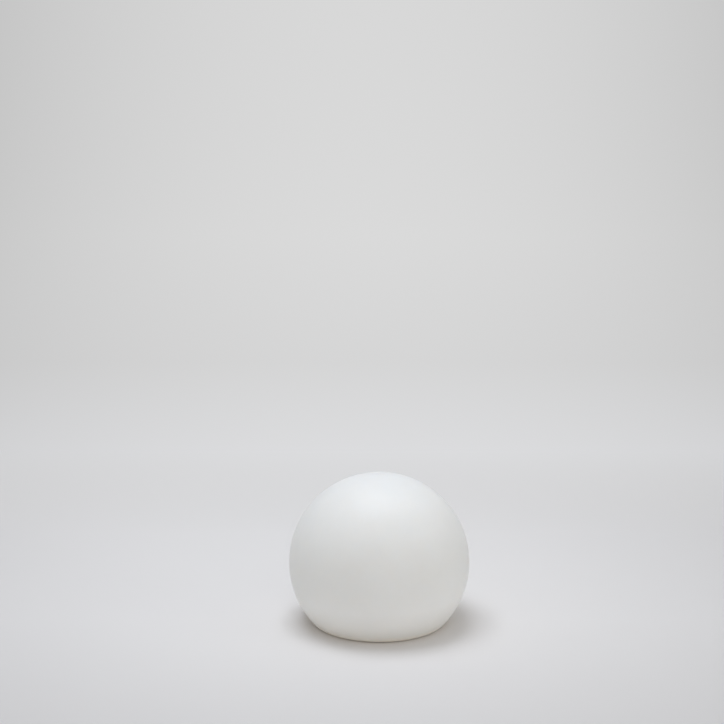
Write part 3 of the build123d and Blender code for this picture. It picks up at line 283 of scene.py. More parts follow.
def start_edit(piece):
    """Go into edit mode on one piece with nothing picked."""
    choose(piece)
    bpy.ops.object.mode_set(mode="EDIT")
    bpy.ops.mesh.select_mode(type="VERT")
    bpy.ops.mesh.select_all(action="DESELECT")


def end_edit():
    bpy.ops.object.mode_set(mode="OBJECT")


def pick_all():
    bpy.ops.mesh.select_all(action="SELECT")


def face_out(inside=False):
    """In edit mode, turn all faces outwards, or inwards."""
    pick_all()
    bpy.ops.mesh.normals_make_consistent(inside=inside)


def pick_points(piece, wanted):
    """In edit mode, pick the points whose place passes the test, with the edges and faces between them."""
    shape = bmesh.from_edit_mesh(piece.data)
    for point in shape.verts:
        point.select_set(wanted(point.co))
    shape.select_flush(True)
    bmesh.update_edit_mesh(piece.data)


def pick_edges(piece, wanted):
    """In edit mode, pick the edges whose two ends pass the test."""
    shape = bmesh.from_edit_mesh(piece.data)
    for edge in shape.edges:
        edge.select_set(wanted(edge.verts[0].co, edge.verts[1].co))
    bmesh.update_edit_mesh(piece.data)


def pick_faces(piece, wanted):
    """In edit mode, pick the faces whose middle and outward direction pass the test."""
    bpy.ops.mesh.select_mode(type="FACE")
    shape = bmesh.from_edit_mesh(piece.data)
    for face in shape.faces:
        face.select_set(wanted(face.calc_center_median(), face.normal))
    bmesh.update_edit_mesh(piece.data)


def pick_top(piece):
    pick_faces(piece, lambda middle, outward: outward.z > FACING)


def pick_sole(piece, bottom):
    """In edit mode, pick the lowest face, which looks down."""
    pick_faces(piece, lambda middle, outward: outward.z < -FACING and middle.z < bottom + NEAR)


def extrude_faces(step):
    bpy.ops.mesh.extrude_region_move(TRANSFORM_OT_translate={"value": step})


def extrude_edges(step):
    bpy.ops.mesh.extrude_edges_move(TRANSFORM_OT_translate={"value": step})


def round_edges(width):
    """In edit mode, round the picked edges."""
    bpy.ops.mesh.bevel(offset=width, segments=BEVEL_SEGMENTS, affect="EDGES")


def inset_rings(rings):
    """In edit mode, step in from the rim of the picked face by (width, rise)."""
    for width, rise in rings:
        bpy.ops.mesh.inset(thickness=width, depth=rise)


def draw_along(outline, spot, extrude):
    """Extrude what is picked along an outline of (radius, height) about an upright line."""
    radius, height = outline[0]
    for next_radius, next_height in outline[1:]:
        extrude((0, 0, next_height - height))
        growth = next_radius / radius
        bpy.ops.transform.resize(value=(growth, growth, 1), center_override=(*spot, next_height))
        radius = next_radius
        height = next_height


def apply_modifier(piece, name):
    choose(piece)
    bpy.ops.object.modifier_apply(modifier=name)


def soften(piece, width):
    """Round all edges of a piece a little."""
    edges = piece.modifiers.new("edges", "BEVEL")
    edges.width = width
    edges.segments = SOFT_EDGE_SEGMENTS
    apply_modifier(piece, "edges")


def thicken(piece, thickness, offset, even=False):
    """Give a sheet its thickness: inwards at an offset of -1, to both sides at 0."""
    wall = piece.modifiers.new("wall", "SOLIDIFY")
    wall.thickness = thickness
    wall.offset = offset
    wall.use_even_offset = even
    apply_modifier(piece, "wall")


def combine(piece, tool, operation):
    """Add a closed piece to another or cut it out of it; the tool goes."""
    change = piece.modifiers.new("change", "BOOLEAN")
    change.operation = operation
    change.solver = "EXACT"
    change.object = tool
    apply_modifier(piece, "change")
    remove(tool)
    start_edit(piece)
    pick_all()
    bpy.ops.mesh.remove_doubles(threshold=CUT_MERGE)
    bpy.ops.mesh.dissolve_degenerate(threshold=CUT_MERGE)
    end_edit()


def smooth(piece, degrees):
    """Shade smoothly over the edges that bend by less than this."""
    choose(piece)
    bpy.ops.object.shade_smooth_by_angle(angle=math.radians(degrees))


def join_all(pieces, name):
    """Make one object of several."""
    choose(pieces[0])
    for piece in pieces:
        piece.select_set(True)
    bpy.ops.object.join()
    pieces[0].name = name
    return pieces[0]


def copy_to(piece, offset, turn):
    """A copy with its own mesh, turned about the upright line through the origin and then moved."""
    choose(piece)
    bpy.ops.object.duplicate(linked=False)
    twin = bpy.context.object
    twin.rotation_euler = (0, 0, turn)
    twin.location = offset
    settle(twin)
    return twin


def copies(pattern, places):
    """Copies of a pattern at (spot, turn) places; the pattern goes."""
    pieces = [copy_to(pattern, (*spot, 0), turn) for spot, turn in places]
    remove(pattern)
    return pieces


def unturned(spots):
    return [(spot, 0.0) for spot in spots]


def places_round(radius, count, start):
    """Even (spot, turn) places on a circle round the origin."""
    turns = [start + index * math.tau / count for index in range(count)]
    return [((radius * math.cos(turn), radius * math.sin(turn)), turn) for turn in turns]


def led_places():
    return [place for ring in LED_RINGS for place in places_round(*ring)]


def middle_of(node):
    low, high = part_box(node)
    return (low + high) / 2


def arc(centre, radius, start, end, steps):
    """Points of an arc in an outline, its first point left out. Degrees."""
    points = []
    for step in range(1, steps + 1):
        turn = math.radians(start + (end - start) * step / steps)
        points.append((centre[0] + radius * math.cos(turn), centre[1] + radius * math.sin(turn)))
    return points


def rounding(radius, bottom, edge):
    """Outline of a rounded lower edge."""
    return [(radius - inward, bottom + up) for inward, up in edge]


def block(size, middle):
    """Box at its size and place, ready to be shaped."""
    deselect_all()
    bpy.ops.mesh.primitive_cube_add(size=1, location=middle)
    return added(size)


def post(spot, radius, bottom, top):
    """Upright round post, ready to be shaped."""
    deselect_all()
    bpy.ops.mesh.primitive_cylinder_add(
        vertices=POST_SEGMENTS, radius=radius, depth=top - bottom, location=(*spot, (bottom + top) / 2)
    )
    return added()


def turn_up(outline, spot, segments):
    """Round piece drawn up from a disc along an outline of (radius, height)."""
    radius, height = outline[0]
    deselect_all()
    bpy.ops.mesh.primitive_circle_add(
        vertices=segments, radius=radius, fill_type="NGON", location=(*spot, height)
    )
    piece = added()
    start_edit(piece)
    pick_all()
    draw_along(outline, spot, extrude_faces)
    face_out()
    end_edit()
    return piece


def dress(piece, material):
    piece.data.materials.clear()
    piece.data.materials.append(material)


def dress_nodes(material, *names):
    """Give carried-over nodes their finish."""
    for name in names:
        for place in nodes[name].material_slots:
            place.material = material


def put(piece, material, body, slot, *replaced):
    """Give a piece its finish, and name the body it rides on and the nodes that it stands for; the slot is
    not used.
    """
    dress(piece, material)
    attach(piece, body)
    if replaced:
        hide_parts(*replaced)


def set_ramp(ramp, tones):
    """Give a colour ramp its (position, colour) steps."""
    steps = ramp.color_ramp.elements
    while len(steps) < len(tones):
        steps.new(0.5)
    for step, (position, colour) in zip(steps, tones):
        step.position = position
        step.color = (*colour, 1.0)


def reckon(tree, operation, first, second):
    """Value of a sum, product or the like of two values."""
    node = tree.nodes.new("ShaderNodeMath")
    node.operation = operation
    tree.links.new(first, node.inputs[0])
    tree.links.new(second, node.inputs[1])
    return node.outputs["Value"]


def plain_sight(tree):
    """1 for rays that see the surroundings: straight, in a mirror or through glass."""
    rays = tree.nodes.new("ShaderNodeLightPath").outputs
    sight = reckon(tree, "MAXIMUM", rays["Is Camera Ray"], rays["Is Glossy Ray"])
    return reckon(tree, "MAXIMUM", sight, rays["Is Transmission Ray"])


class Finish:
    """A procedural material with a Principled shader that reads Object coordinates."""

    def __init__(self, name, colour, roughness, metallic=0.0):
        self.material = bpy.data.materials.new(name)
        self.material.use_nodes = True
        self.tree = self.material.node_tree
        self.shader = self.tree.nodes["Principled BSDF"]
        self.colour = colour
        self.roughness = roughness
        self.set("Base Color", (*colour, 1.0))
        self.set("Roughness", roughness)
        self.set("Metallic", metallic)
        self.place = self.add("ShaderNodeTexCoord").outputs["Object"]
        self.last_normal = None

    def add(self, kind):
        return self.tree.nodes.new(kind)

    def join(self, out, socket):
        self.tree.links.new(out, socket)

    def set(self, socket, value):
        self.shader.inputs[socket].default_value = value

    def stretched(self, stretch):
        """Object coordinates, squeezed along X, Y and Z if asked for."""
        if not stretch:
            return self.place
        mapping = self.add("ShaderNodeMapping")
        mapping.inputs["Scale"].default_value = stretch
        self.join(self.place, mapping.inputs["Vector"])
        return mapping.outputs["Vector"]

    def noise(self, scale, detail=3.0, roughness=0.55, stretch=None):
        """Noise over the piece."""
        texture = self.add("ShaderNodeTexNoise")
        texture.inputs["Scale"].default_value = scale
        texture.inputs["Detail"].default_value = detail
        texture.inputs["Roughness"].default_value = roughness
        self.join(self.stretched(stretch), texture.inputs["Vector"])
        return texture.outputs["Fac"]

    def flakes(self, scale, stretch=None, square=False):
        """Grains with straight sides, each with a tone of its own."""
        texture = self.add("ShaderNodeTexVoronoi")
        if square:
            texture.distance = "CHEBYCHEV"
        texture.inputs["Scale"].default_value = scale
        self.join(self.stretched(stretch), texture.inputs["Vector"])
        parts = self.add("ShaderNodeSeparateColor")
        self.join(texture.outputs["Color"], parts.inputs["Color"])
        return parts.outputs["Red"]

    def stripes(self, axis, pitch):
        """Even waves along X, Y or Z, one to a pitch."""
        texture = self.add("ShaderNodeTexWave")
        texture.bands_direction = axis
        texture.inputs["Scale"].default_value = WAVE_LENGTH / pitch
        self.join(self.place, texture.inputs["Vector"])
        return texture.outputs["Fac"]

    def along(self, axis):
        """Distance along X, Y or Z."""
        parts = self.add("ShaderNodeSeparateXYZ")
        self.join(self.place, parts.inputs["Vector"])
        return parts.outputs[axis]

    def times(self, first, second):
        return reckon(self.tree, "MULTIPLY", first, second)

    def sum(self, first, second):
        return reckon(self.tree, "ADD", first, second)

    def more(self, first, second):
        """The larger of two values."""
        return reckon(self.tree, "MAXIMUM", first, second)

    def squared(self, axis):
        distance = self.along(axis)
        return self.times(distance, distance)

    def spread(self, value, low, high, start=0.3, end=0.7):
        """Stretch a value from start..end to low..high. Most of a noise lies in the default span."""
        node = self.add("ShaderNodeMapRange")
        node.inputs["From Min"].default_value = start
        node.inputs["From Max"].default_value = end
        node.inputs["To Min"].default_value = low
        node.inputs["To Max"].default_value = high
        self.join(value, node.inputs["Value"])
        return node.outputs["Result"]

    def across(self, direction, start, end):
        """Value that goes from 0 to 1 along a direction."""
        product = self.add("ShaderNodeVectorMath")
        product.operation = "DOT_PRODUCT"
        product.inputs[1].default_value = direction
        self.join(self.place, product.inputs[0])
        return self.spread(product.outputs["Value"], 0.0, 1.0, start, end)

    def blend(self, value, first, second):
        """Colour that goes from first to second with the value."""
        node = self.add("ShaderNodeMix")
        node.data_type = "RGBA"
        self.join(value, node.inputs["Factor"])
        for index, colour in zip(MIX_COLOURS_IN, (first, second)):
            if isinstance(colour, tuple):
                node.inputs[index].default_value = (*colour, 1.0)
            else:
                self.join(colour, node.inputs[index])
        return node.outputs[MIX_COLOUR_OUT]

    def pick(self, value, first, second):
        """First where the value is 0, second where it is 1."""
        node = self.add("ShaderNodeMix")
        self.join(value, node.inputs["Factor"])
        self.join(first, node.inputs["A"])
        self.join(second, node.inputs["B"])
        return node.outputs["Result"]

    def paint(self, tone):
        self.join(tone, self.shader.inputs["Base Color"])

    def cloud(self, scale, darker, lighter):
        """Uneven tone of the base colour."""
        low = tuple(channel * darker for channel in self.colour)
        high = tuple(min(1.0, channel * lighter) for channel in self.colour)
        tone = self.blend(self.spread(self.noise(scale), 0.0, 1.0), low, high)
        self.paint(tone)
        return tone

    def uneven_gloss(self, scale, swing, stretch=None):
        value = self.spread(
            self.noise(scale, stretch=stretch), self.roughness - swing, self.roughness + swing
        )
        self.join(value, self.shader.inputs["Roughness"])

    def bump(self, height, strength, depth):
        """Raise the surface by a height value, over any bump already there."""
        node = self.add("ShaderNodeBump")
        node.inputs["Strength"].default_value = strength
        node.inputs["Distance"].default_value = depth
        self.join(height, node.inputs["Height"])
        if self.last_normal:
            self.join(self.last_normal, node.inputs["Normal"])
        self.last_normal = node.outputs["Normal"]
        self.join(self.last_normal, self.shader.inputs["Normal"])


def moulded_globe_white():
    """Rotationally moulded polyethylene: matt, softly translucent, with a very fine orange peel."""
    finish = Finish("moulded_globe_white", (0.93, 0.918, 0.890), 0.52)
    tone = finish.cloud(14.0, 0.985, 1.01)
    # Painted shade: the globe turns darker and a little warmer towards the foot
    foot = finish.spread(finish.along("Z"), 1.0, 0.0, *GLOBE_FOOT_PAINTED_SHADE_SPAN)
    # Painted warm shade: a creamy band on the foot edge, next to the crease on the paper
    edge = finish.spread(finish.along("Z"), 1.0, 0.0, *GLOBE_EDGE_PAINTED_WARM_SHADE_SPAN)
    finish.paint(finish.blend(edge, finish.blend(foot, tone, GLOBE_FOOT_PAINTED_SHADE), GLOBE_EDGE_PAINTED_WARM_SHADE))
    finish.uneven_gloss(60.0, 0.05)
    finish.bump(finish.noise(160.0, detail=2.0), 0.10, 0.0004)
    finish.bump(finish.noise(1100.0, detail=2.0), 0.12, 0.0001)
    finish.set("Subsurface Weight", 1.0)
    finish.set("Subsurface Radius", (1.0, 0.95, 0.90))
    finish.set("Subsurface Scale", 0.005)
    finish.set("Specular IOR Level", 0.4)
    return finish.material


def paper_sweep():
    """Seamless paper, with painted shade: a little darker to the front and the sides.

    Its far part glows at a painted tone for sight and mirrors: behind the lamp it is darker in a band and
    towards the sides, further round it is even and pale.
    """
    finish = Finish("paper_sweep", PAPER_COLOUR, 0.85)
    tone = finish.cloud(3.0, 0.997, 1.003)
    aside = finish.squared("X")
    # Painted shade: the floor darkens towards the front and the sides
    front = finish.spread(finish.along("Y"), PAPER_FRONT_PAINTED_SHADE, 1.0, PAPER_FRONT, 0.0)
    shade = finish.times(front, finish.spread(aside, 1.0, PAPER_SIDE_PAINTED_SHADE, 0.0, PAPER_SIDE))
    finish.paint(finish.blend(shade, BLACK, tone))
    finish.bump(finish.noise(700.0, detail=2.0), 0.03, 0.0003)
    finish.set("Specular IOR Level", 0.15)
    # Painted light: tones at which the far paper glows behind the lamp, with painted shade towards the
    # sides
    ramp = finish.add("ShaderNodeValToRGB")
    set_ramp(ramp, [(depth / BACKDROP_DEPTH, colour) for depth, colour in BACKDROP_PAINTED_TONES])
    finish.join(finish.spread(finish.along("Y"), 0.0, 1.0, 0.0, BACKDROP_DEPTH), ramp.inputs["Fac"])
    side = finish.spread(aside, 1.0, BACKDROP_SIDE_PAINTED_SHADE, 0.0, BACKDROP_SIDE)
    backdrop = finish.blend(side, BLACK, ramp.outputs["Color"])
    behind = finish.spread(finish.along("Y"), 0.0, 1.0, *FAR_BEHIND)
    around = finish.spread(finish.sum(aside, finish.squared("Y")), 0.0, 1.0, *FAR_AROUND)
    seen = finish.add("ShaderNodeEmission")
    finish.join(finish.blend(behind, ROOM_SEEN_COLOUR, backdrop), seen.inputs["Color"])
    far = finish.times(plain_sight(finish.tree), finish.more(behind, around))
    mix = finish.add("ShaderNodeMixShader")
    finish.join(far, mix.inputs["Fac"])
    finish.join(finish.shader.outputs["BSDF"], mix.inputs[1])
    finish.join(seen.outputs["Emission"], mix.inputs[2])
    finish.join(mix.outputs["Shader"], finish.tree.nodes["Material Output"].inputs["Surface"])
    return finish.material


def grained_plastic(name, colour, roughness, grain):
    """Injection moulded plastic with an even spark grain."""
    finish = Finish(name, colour, roughness)
    finish.cloud(45.0, 0.965, 1.02)
    finish.uneven_gloss(140.0, 0.06)
    finish.bump(finish.noise(1500.0, detail=3.0), grain, 0.00012)
    finish.bump(finish.noise(60.0, detail=1.0), 0.04, 0.0005)
    finish.set("Specular IOR Level", 0.45)
    return finish.material


def soft_rubber(name, colour):
    """Rubber with a dull skin and a little dust in it."""
    finish = Finish(name, colour, 0.74)
    finish.cloud(220.0, 0.82, 1.25)
    finish.uneven_gloss(90.0, 0.09)
    finish.bump(finish.noise(2600.0, detail=4.0), 0.22, 0.00008)
    finish.set("Specular IOR Level", 0.35)
    return finish.material


def drawn_metal(name, colour, roughness, run):
    """Plated or bare metal with fine marks along the way it was drawn, rolled or turned."""
    finish = Finish(name, colour, roughness, metallic=1.0)
    finish.cloud(180.0, 0.90, 1.05)
    finish.uneven_gloss(700.0, 0.09, stretch=run)
    finish.bump(finish.noise(2200.0, detail=2.0, stretch=run), 0.16, 0.00005)
    return finish.material


def clear_window():
    """Clear polycarbonate with faint wiping marks."""
    finish = Finish("clear_window", (0.93, 0.96, 0.98), 0.07)
    finish.cloud(30.0, 0.985, 1.01)
    finish.uneven_gloss(400.0, 0.04, stretch=(1.0, 14.0, 1.0))
    finish.bump(finish.noise(900.0, detail=2.0, stretch=(1.0, 20.0, 1.0)), 0.03, 0.00003)
    finish.set("Transmission Weight", 1.0)
    finish.set("IOR", 1.58)
    return finish.material


def silicon_wafer():
    """Blue silicon in crystal patches, with fine silver fingers across it."""
    finish = Finish("silicon_wafer", (0.022, 0.045, 0.14), 0.24)
    crystals = finish.flakes(300.0, stretch=(1.0, 1.6, 1.0))
    blue = finish.blend(crystals, (0.014, 0.028, 0.095), (0.035, 0.070, 0.20))
    fingers = finish.spread(finish.stripes("X", 0.0022), 0.0, 1.0, 0.955, 0.985)
    finish.paint(finish.blend(fingers, blue, (0.62, 0.63, 0.65)))
    finish.uneven_gloss(250.0, 0.07)
    finish.bump(fingers, 0.25, 0.00003)
    finish.set("Coat Weight", 0.35)
    finish.set("Coat Roughness", 0.12)
    return finish.material


def panel_laminate():
    """White backing sheet with a glass weave that shows through."""
    finish = Finish("panel_laminate", (0.84, 0.85, 0.84), 0.46)
    finish.cloud(80.0, 0.96, 1.02)
    weave = finish.more(finish.stripes("X", 0.0011), finish.stripes("Y", 0.0011))
    finish.bump(weave, 0.12, 0.00004)
    finish.uneven_gloss(200.0, 0.05)
    return finish.material


def solder_mask(name, colour, track):
    """Circuit board lacquer over groups of copper tracks, which show lighter and a little raised."""
    finish = Finish(name, colour, 0.34)
    group = finish.spread(finish.flakes(170.0, square=True), 0.0, 1.0, 0.49, 0.51)
    tracks = finish.pick(group, finish.stripes("X", 0.0012), finish.stripes("Y", 0.0012))
    tracks = finish.spread(tracks, 0.0, 1.0, 0.70, 0.78)
    tone = finish.cloud(110.0, 0.90, 1.08)
    finish.paint(finish.blend(tracks, tone, track))
    finish.bump(tracks, 0.20, 0.00004)
    finish.uneven_gloss(260.0, 0.06)
    return finish.material


def led_package():
    """Pale yellow ceramic body of a chip lamp."""
    finish = Finish("led_package", (0.86, 0.74, 0.34), 0.48)
    finish.cloud(900.0, 0.92, 1.06)
    finish.bump(finish.noise(5200.0, detail=2.0), 0.15, 0.00003)
    finish.uneven_gloss(1200.0, 0.06)
    return finish.material


def phosphor_gel():
    """Yellow silicone with phosphor grains in it."""
    finish = Finish("phosphor_gel", (0.90, 0.66, 0.10), 0.26)
    finish.cloud(3200.0, 0.86, 1.10)
    finish.bump(finish.noise(6000.0, detail=2.0), 0.05, 0.00002)
    finish.set("Subsurface Weight", 0.4)
    finish.set("Subsurface Radius", (1.0, 0.6, 0.2))
    finish.set("Subsurface Scale", 0.0004)
    return finish.material


def frosted_dome():
    """Opal diffuser: white, a little see-through, with a satin skin."""
    finish = Finish("frosted_dome", (0.90, 0.91, 0.91), 0.42)
    finish.cloud(40.0, 0.98, 1.01)
    finish.uneven_gloss(160.0, 0.05)
    finish.bump(finish.noise(2400.0, detail=2.0), 0.08, 0.00006)
    finish.set("Transmission Weight", 0.22)
    finish.set("IOR", 1.49)
    finish.set("Subsurface Weight", 0.5)
    finish.set("Subsurface Radius", (1.0, 0.95, 0.9))
    finish.set("Subsurface Scale", 0.004)
    return finish.material


def shrink_sleeve():
    """Blue shrink sleeve of a cell, with faint ripples round it."""
    finish = Finish("shrink_sleeve", (0.075, 0.24, 0.55), 0.32)
    finish.cloud(120.0, 0.90, 1.08)
    finish.uneven_gloss(300.0, 0.06)
    finish.bump(finish.noise(260.0, detail=2.0, stretch=(3.0, 0.6, 0.6)), 0.10, 0.0003)
    finish.set("Coat Weight", 0.3)
    finish.set("Coat Roughness", 0.15)
    return finish.material


def sintered_ferrite():
    """Dark grey pressed powder."""
    finish = Finish("sintered_ferrite", (0.15, 0.15, 0.155), 0.66)
    finish.cloud(1600.0, 0.75, 1.25)
    finish.bump(finish.noise(3200.0, detail=4.0), 0.35, 0.00008)
    finish.uneven_gloss(500.0, 0.08)
    return finish.material


def lead_insulation(name, direction, border, other_border=None):
    """Vinyl insulation of a pair of leads, one black and one red, told apart by where they run."""
    finish = Finish(name, (0.52, 0.035, 0.03), 0.40)
    red = finish.cloud(500.0, 0.88, 1.08)
    side = finish.across(direction, border - LEAD_BORDER, border + LEAD_BORDER)
    if other_border:
        beyond = finish.across((0, 1, 0), other_border - LEAD_BORDER, other_border + LEAD_BORDER)
        side = finish.more(side, beyond)
    finish.paint(finish.blend(side, (0.022, 0.022, 0.024), red))
    finish.uneven_gloss(700.0, 0.06)
    finish.bump(finish.noise(1800.0, detail=2.0), 0.10, 0.00005)
    return finish.material


def make_insert_boss(spot):
    """Round post over one of the brass inserts, with a softened top."""
    boss = post(spot, BOSS_RADIUS, SEAT_HEIGHT + GLOBE_WALL / 2, BOSS_TOP)
    start_edit(boss)
    pick_points(boss, lambda place: place.z > BOSS_TOP - NEAR)
    round_edges(BOSS_BEVEL)
    end_edit()
    return boss


def make_insert_hole(spot):
    """Cutter for the hole that holds a brass insert, from below the seat up."""
    return post(spot, INSERT_HOLE_RADIUS, SEAT_HEIGHT - GLOBE_WALL, SEAT_HEIGHT + INSERT_HOLE_DEPTH)


def make_globe():
    """The ball, turned in under itself into a foot, a recess for the base and a mouth."""
    low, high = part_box("globe_shell")
    ball_radius = min(-low.x, -low.y, high.x, high.y)
    ball_height = high.z - ball_radius
    edge_height = FOOT_LIFT + FOOT_EDGE_RADIUS
    edge_reach = math.sqrt((ball_radius - FOOT_EDGE_RADIUS) ** 2 - (ball_height - edge_height) ** 2)
    edge_angle = math.degrees(math.atan2(edge_height - ball_height, edge_reach))
    join_reach = ball_radius * math.cos(math.radians(edge_angle))
    join_height = ball_height + ball_radius * math.sin(math.radians(edge_angle))
    lip_centre = (RECESS_RADIUS + LIP_RADIUS, FOOT_LIFT + LIP_RADIUS)
    corner_centre = (RECESS_RADIUS - SEAT_CORNER_RADIUS, SEAT_HEIGHT - SEAT_CORNER_RADIUS)
    outline = [(join_reach, join_height)]
    outline += arc((edge_reach, edge_height), FOOT_EDGE_RADIUS, edge_angle, -90, FOOT_EDGE_STEPS)
    outline += arc(lip_centre, LIP_RADIUS, -90, -180, LIP_STEPS)
    outline.append((RECESS_RADIUS, SEAT_HEIGHT - SEAT_CORNER_RADIUS))
    outline += arc(corner_centre, SEAT_CORNER_RADIUS, 0, 90, SEAT_CORNER_STEPS)
    outline.append((MOUTH_RADIUS, SEAT_HEIGHT))
    deselect_all()
    bpy.ops.mesh.primitive_uv_sphere_add(
        segments=GLOBE_SEGMENTS, ring_count=GLOBE_RINGS, radius=ball_radius, location=(0, 0, ball_height)
    )
    globe = added()
    start_edit(globe)
    pick_all()
    bpy.ops.mesh.bisect(plane_co=(0, 0, join_height), plane_no=(0, 0, 1), clear_inner=True)
    pick_points(globe, lambda place: place.z < join_height + NEAR)
    draw_along(outline, (0, 0), extrude_edges)
    face_out()
    end_edit()
    thicken(globe, GLOBE_WALL, -1, even=True)
    spots = [spot for spot, turn in places_round(BOSS_CIRCLE, BOSS_COUNT, BOSS_START)]
    combine(globe, join_all([make_insert_boss(spot) for spot in spots], "bosses"), "UNION")
    combine(globe, join_all([make_insert_hole(spot) for spot in spots], "insert_holes"), "DIFFERENCE")
    globe.name = "globe"
    smooth(globe, 35)
    return globe


def make_led_lenses():
    """Domed silicone in the well of each chip lamp."""
    package_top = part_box("led_chips")[1].z
    outline = [(LENS_RADIUS, package_top - LENS_SINK), (LENS_RADIUS, package_top)]
    outline += [(reach * LENS_RADIUS, package_top + rise * LENS_RISE) for reach, rise in LENS_DOME]
    pattern = turn_up(outline, (0, 0), LENS_SEGMENTS)
    lenses = join_all(copies(pattern, unturned(spot for spot, turn in led_places())), "led_lenses")
    smooth(lenses, 40)
    return lenses


def make_led_solder():
    """Solder fillet at the two ends of each chip lamp."""
    board_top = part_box("led_chips")[0].z
    inner = LED_SIZE / 2
    outer = inner + LED_SOLDER_REACH
    half_way = board_top + LED_SOLDER_RISE / 2
    size = (LED_SOLDER_REACH, LED_SOLDER_LENGTH, LED_SOLDER_RISE)
    pattern = block(size, (inner + LED_SOLDER_REACH / 2, 0, half_way))
    start_edit(pattern)
    pick_points(pattern, lambda place: place.x > outer - NEAR and place.z > half_way)
    round_edges(LED_SOLDER_ROUNDING * LED_SOLDER_REACH)
    end_edit()
    places = [(spot, end) for spot, turn in led_places() for end in (turn, turn + math.pi)]
    fillets = join_all(copies(pattern, places), "led_solder")
    smooth(fillets, 40)
    return fillets


def make_lead_solder():
    """Solder with hollow flanks at the lamp leads, the socket pin and the four legs of the switch."""
    board_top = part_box("main_board")[1].z
    socket = middle_of("jack_pin")
    switch = middle_of("tact_switch")
    aside, ahead = SWITCH_LEG_REACH
    switch_spots = [
        (switch.x + side * aside, switch.y + end * ahead) for side in (-1, 1) for end in (-1, 1)
    ]
    groups = (
        (LED_LEAD_SOLDER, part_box("led_board")[1].z, LED_LEAD_PADS),
        (SOCKET_PIN_SOLDER, board_top, ((socket.x, socket.y),)),
        (SWITCH_LEG_SOLDER, board_top, switch_spots),
    )
    cones = []
    for (spread, rise), bottom, spots in groups:
        outline = [(reach * spread, bottom + height * rise) for reach, height in SOLDER_FLANK]
        cones += copies(turn_up(outline, (0, 0), SOLDER_SEGMENTS), unturned(spots))
    cones = join_all(cones, "lead_solder")
    smooth(cones, 50)
    return cones


def make_chip_legs():
    """Bent metal legs along two sides of each chip."""
    board_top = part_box("board_chips")[0].z
    legs = []
    for spot, size, count in CHIPS:
        height = board_top + size[2] * LEG_HEIGHT
        side = size[1] / 2
        end = side + LEG_REACH / 2
        pattern = block((LEG_WIDTH, LEG_REACH / 2, LEG_THICKNESS), (0, side + LEG_REACH / 4, height))
        start_edit(pattern)
        pick_points(pattern, lambda place: place.y > end - NEAR)
        drop = height - board_top - LEG_THICKNESS / 2
        extrude_faces((0, LEG_REACH * LEG_BEND, -drop))
        extrude_faces((0, LEG_REACH * LEG_SOLE, 0))
        end_edit()
        places = []
        for index in range(count):
            along = (index - (count - 1) / 2) * LEG_PITCH
            places += [((spot[0] + along, spot[1]), turn) for turn in (0.0, math.pi)]
        legs += copies(pattern, places)
    return join_all(legs, "chip_legs")


def make_connectors():
    """Board connectors with a raised rim round the lead entries and softened edges."""
    low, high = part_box("board_connectors")
    middle_y = (low.y + high.y) / 2
    depth = high.y - low.y
    width = high.x - low.x - (CONNECTOR_SPOTS[-1] - CONNECTOR_SPOTS[0])

    def on_rim(middle, outward):
        return outward.z > FACING and abs(middle.x) + abs(middle.y - middle_y) > CONNECTOR_ENTRY

    pattern = block((width, depth, high.z - low.z), (0, middle_y, (low.z + high.z) / 2))
    start_edit(pattern)
    pick_top(pattern)
    bpy.ops.mesh.inset(thickness=CONNECTOR_RIM, depth=0)
    pick_faces(pattern, on_rim)
    extrude_faces((0, 0, CONNECTOR_RIM_RISE))
    face_out()
    end_edit()
    soften(pattern, CONNECTOR_EDGE)
    places = unturned((along, 0) for along in CONNECTOR_SPOTS)
    connectors = join_all(copies(pattern, places), "connectors")
    smooth(connectors, 30)
    return connectors


def make_capacitors():
    """Aluminium cans with a rolled groove near the foot and a dished top."""
    low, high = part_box("board_capacitors")
    outline = [(share * CAPACITOR_RADIUS, low.z + up) for share, up in CAPACITOR_FOOT]
    outline += [(share * CAPACITOR_RADIUS, high.z - down) for share, down in CAPACITOR_TOP]
    pattern = turn_up(outline, (0, 0), CAPACITOR_SEGMENTS)
    capacitors = join_all(copies(pattern, unturned(CAPACITOR_SPOTS)), "capacitors")
    smooth(capacitors, 40)
    return capacitors


def make_inductor():
    """Shielded inductor: a block with cut corners, a sunk ring and the drum in the middle of it."""
    low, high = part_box("board_inductor")
    middle = (low + high) / 2
    half = (high.x - low.x) / 2
    half_height = 0.5 * (high.z - low.z)
    shield = block(high - low, middle)
    start_edit(shield)
    pick_edges(shield, lambda first, second: abs(first.z - second.z) > half_height)
    round_edges(INDUCTOR_CORNER * half)
    pick_top(shield)
    bpy.ops.mesh.inset(thickness=INDUCTOR_WALL * half, depth=0)
    extrude_faces((0, 0, -INDUCTOR_SINK))
    end_edit()
    outline = [(share * half, high.z - down) for share, down in INDUCTOR_DRUM]
    drum = turn_up(outline, (middle.x, middle.y), INDUCTOR_SEGMENTS)
    inductor = join_all([shield, drum], "inductor")
    smooth(inductor, 30)
    return inductor


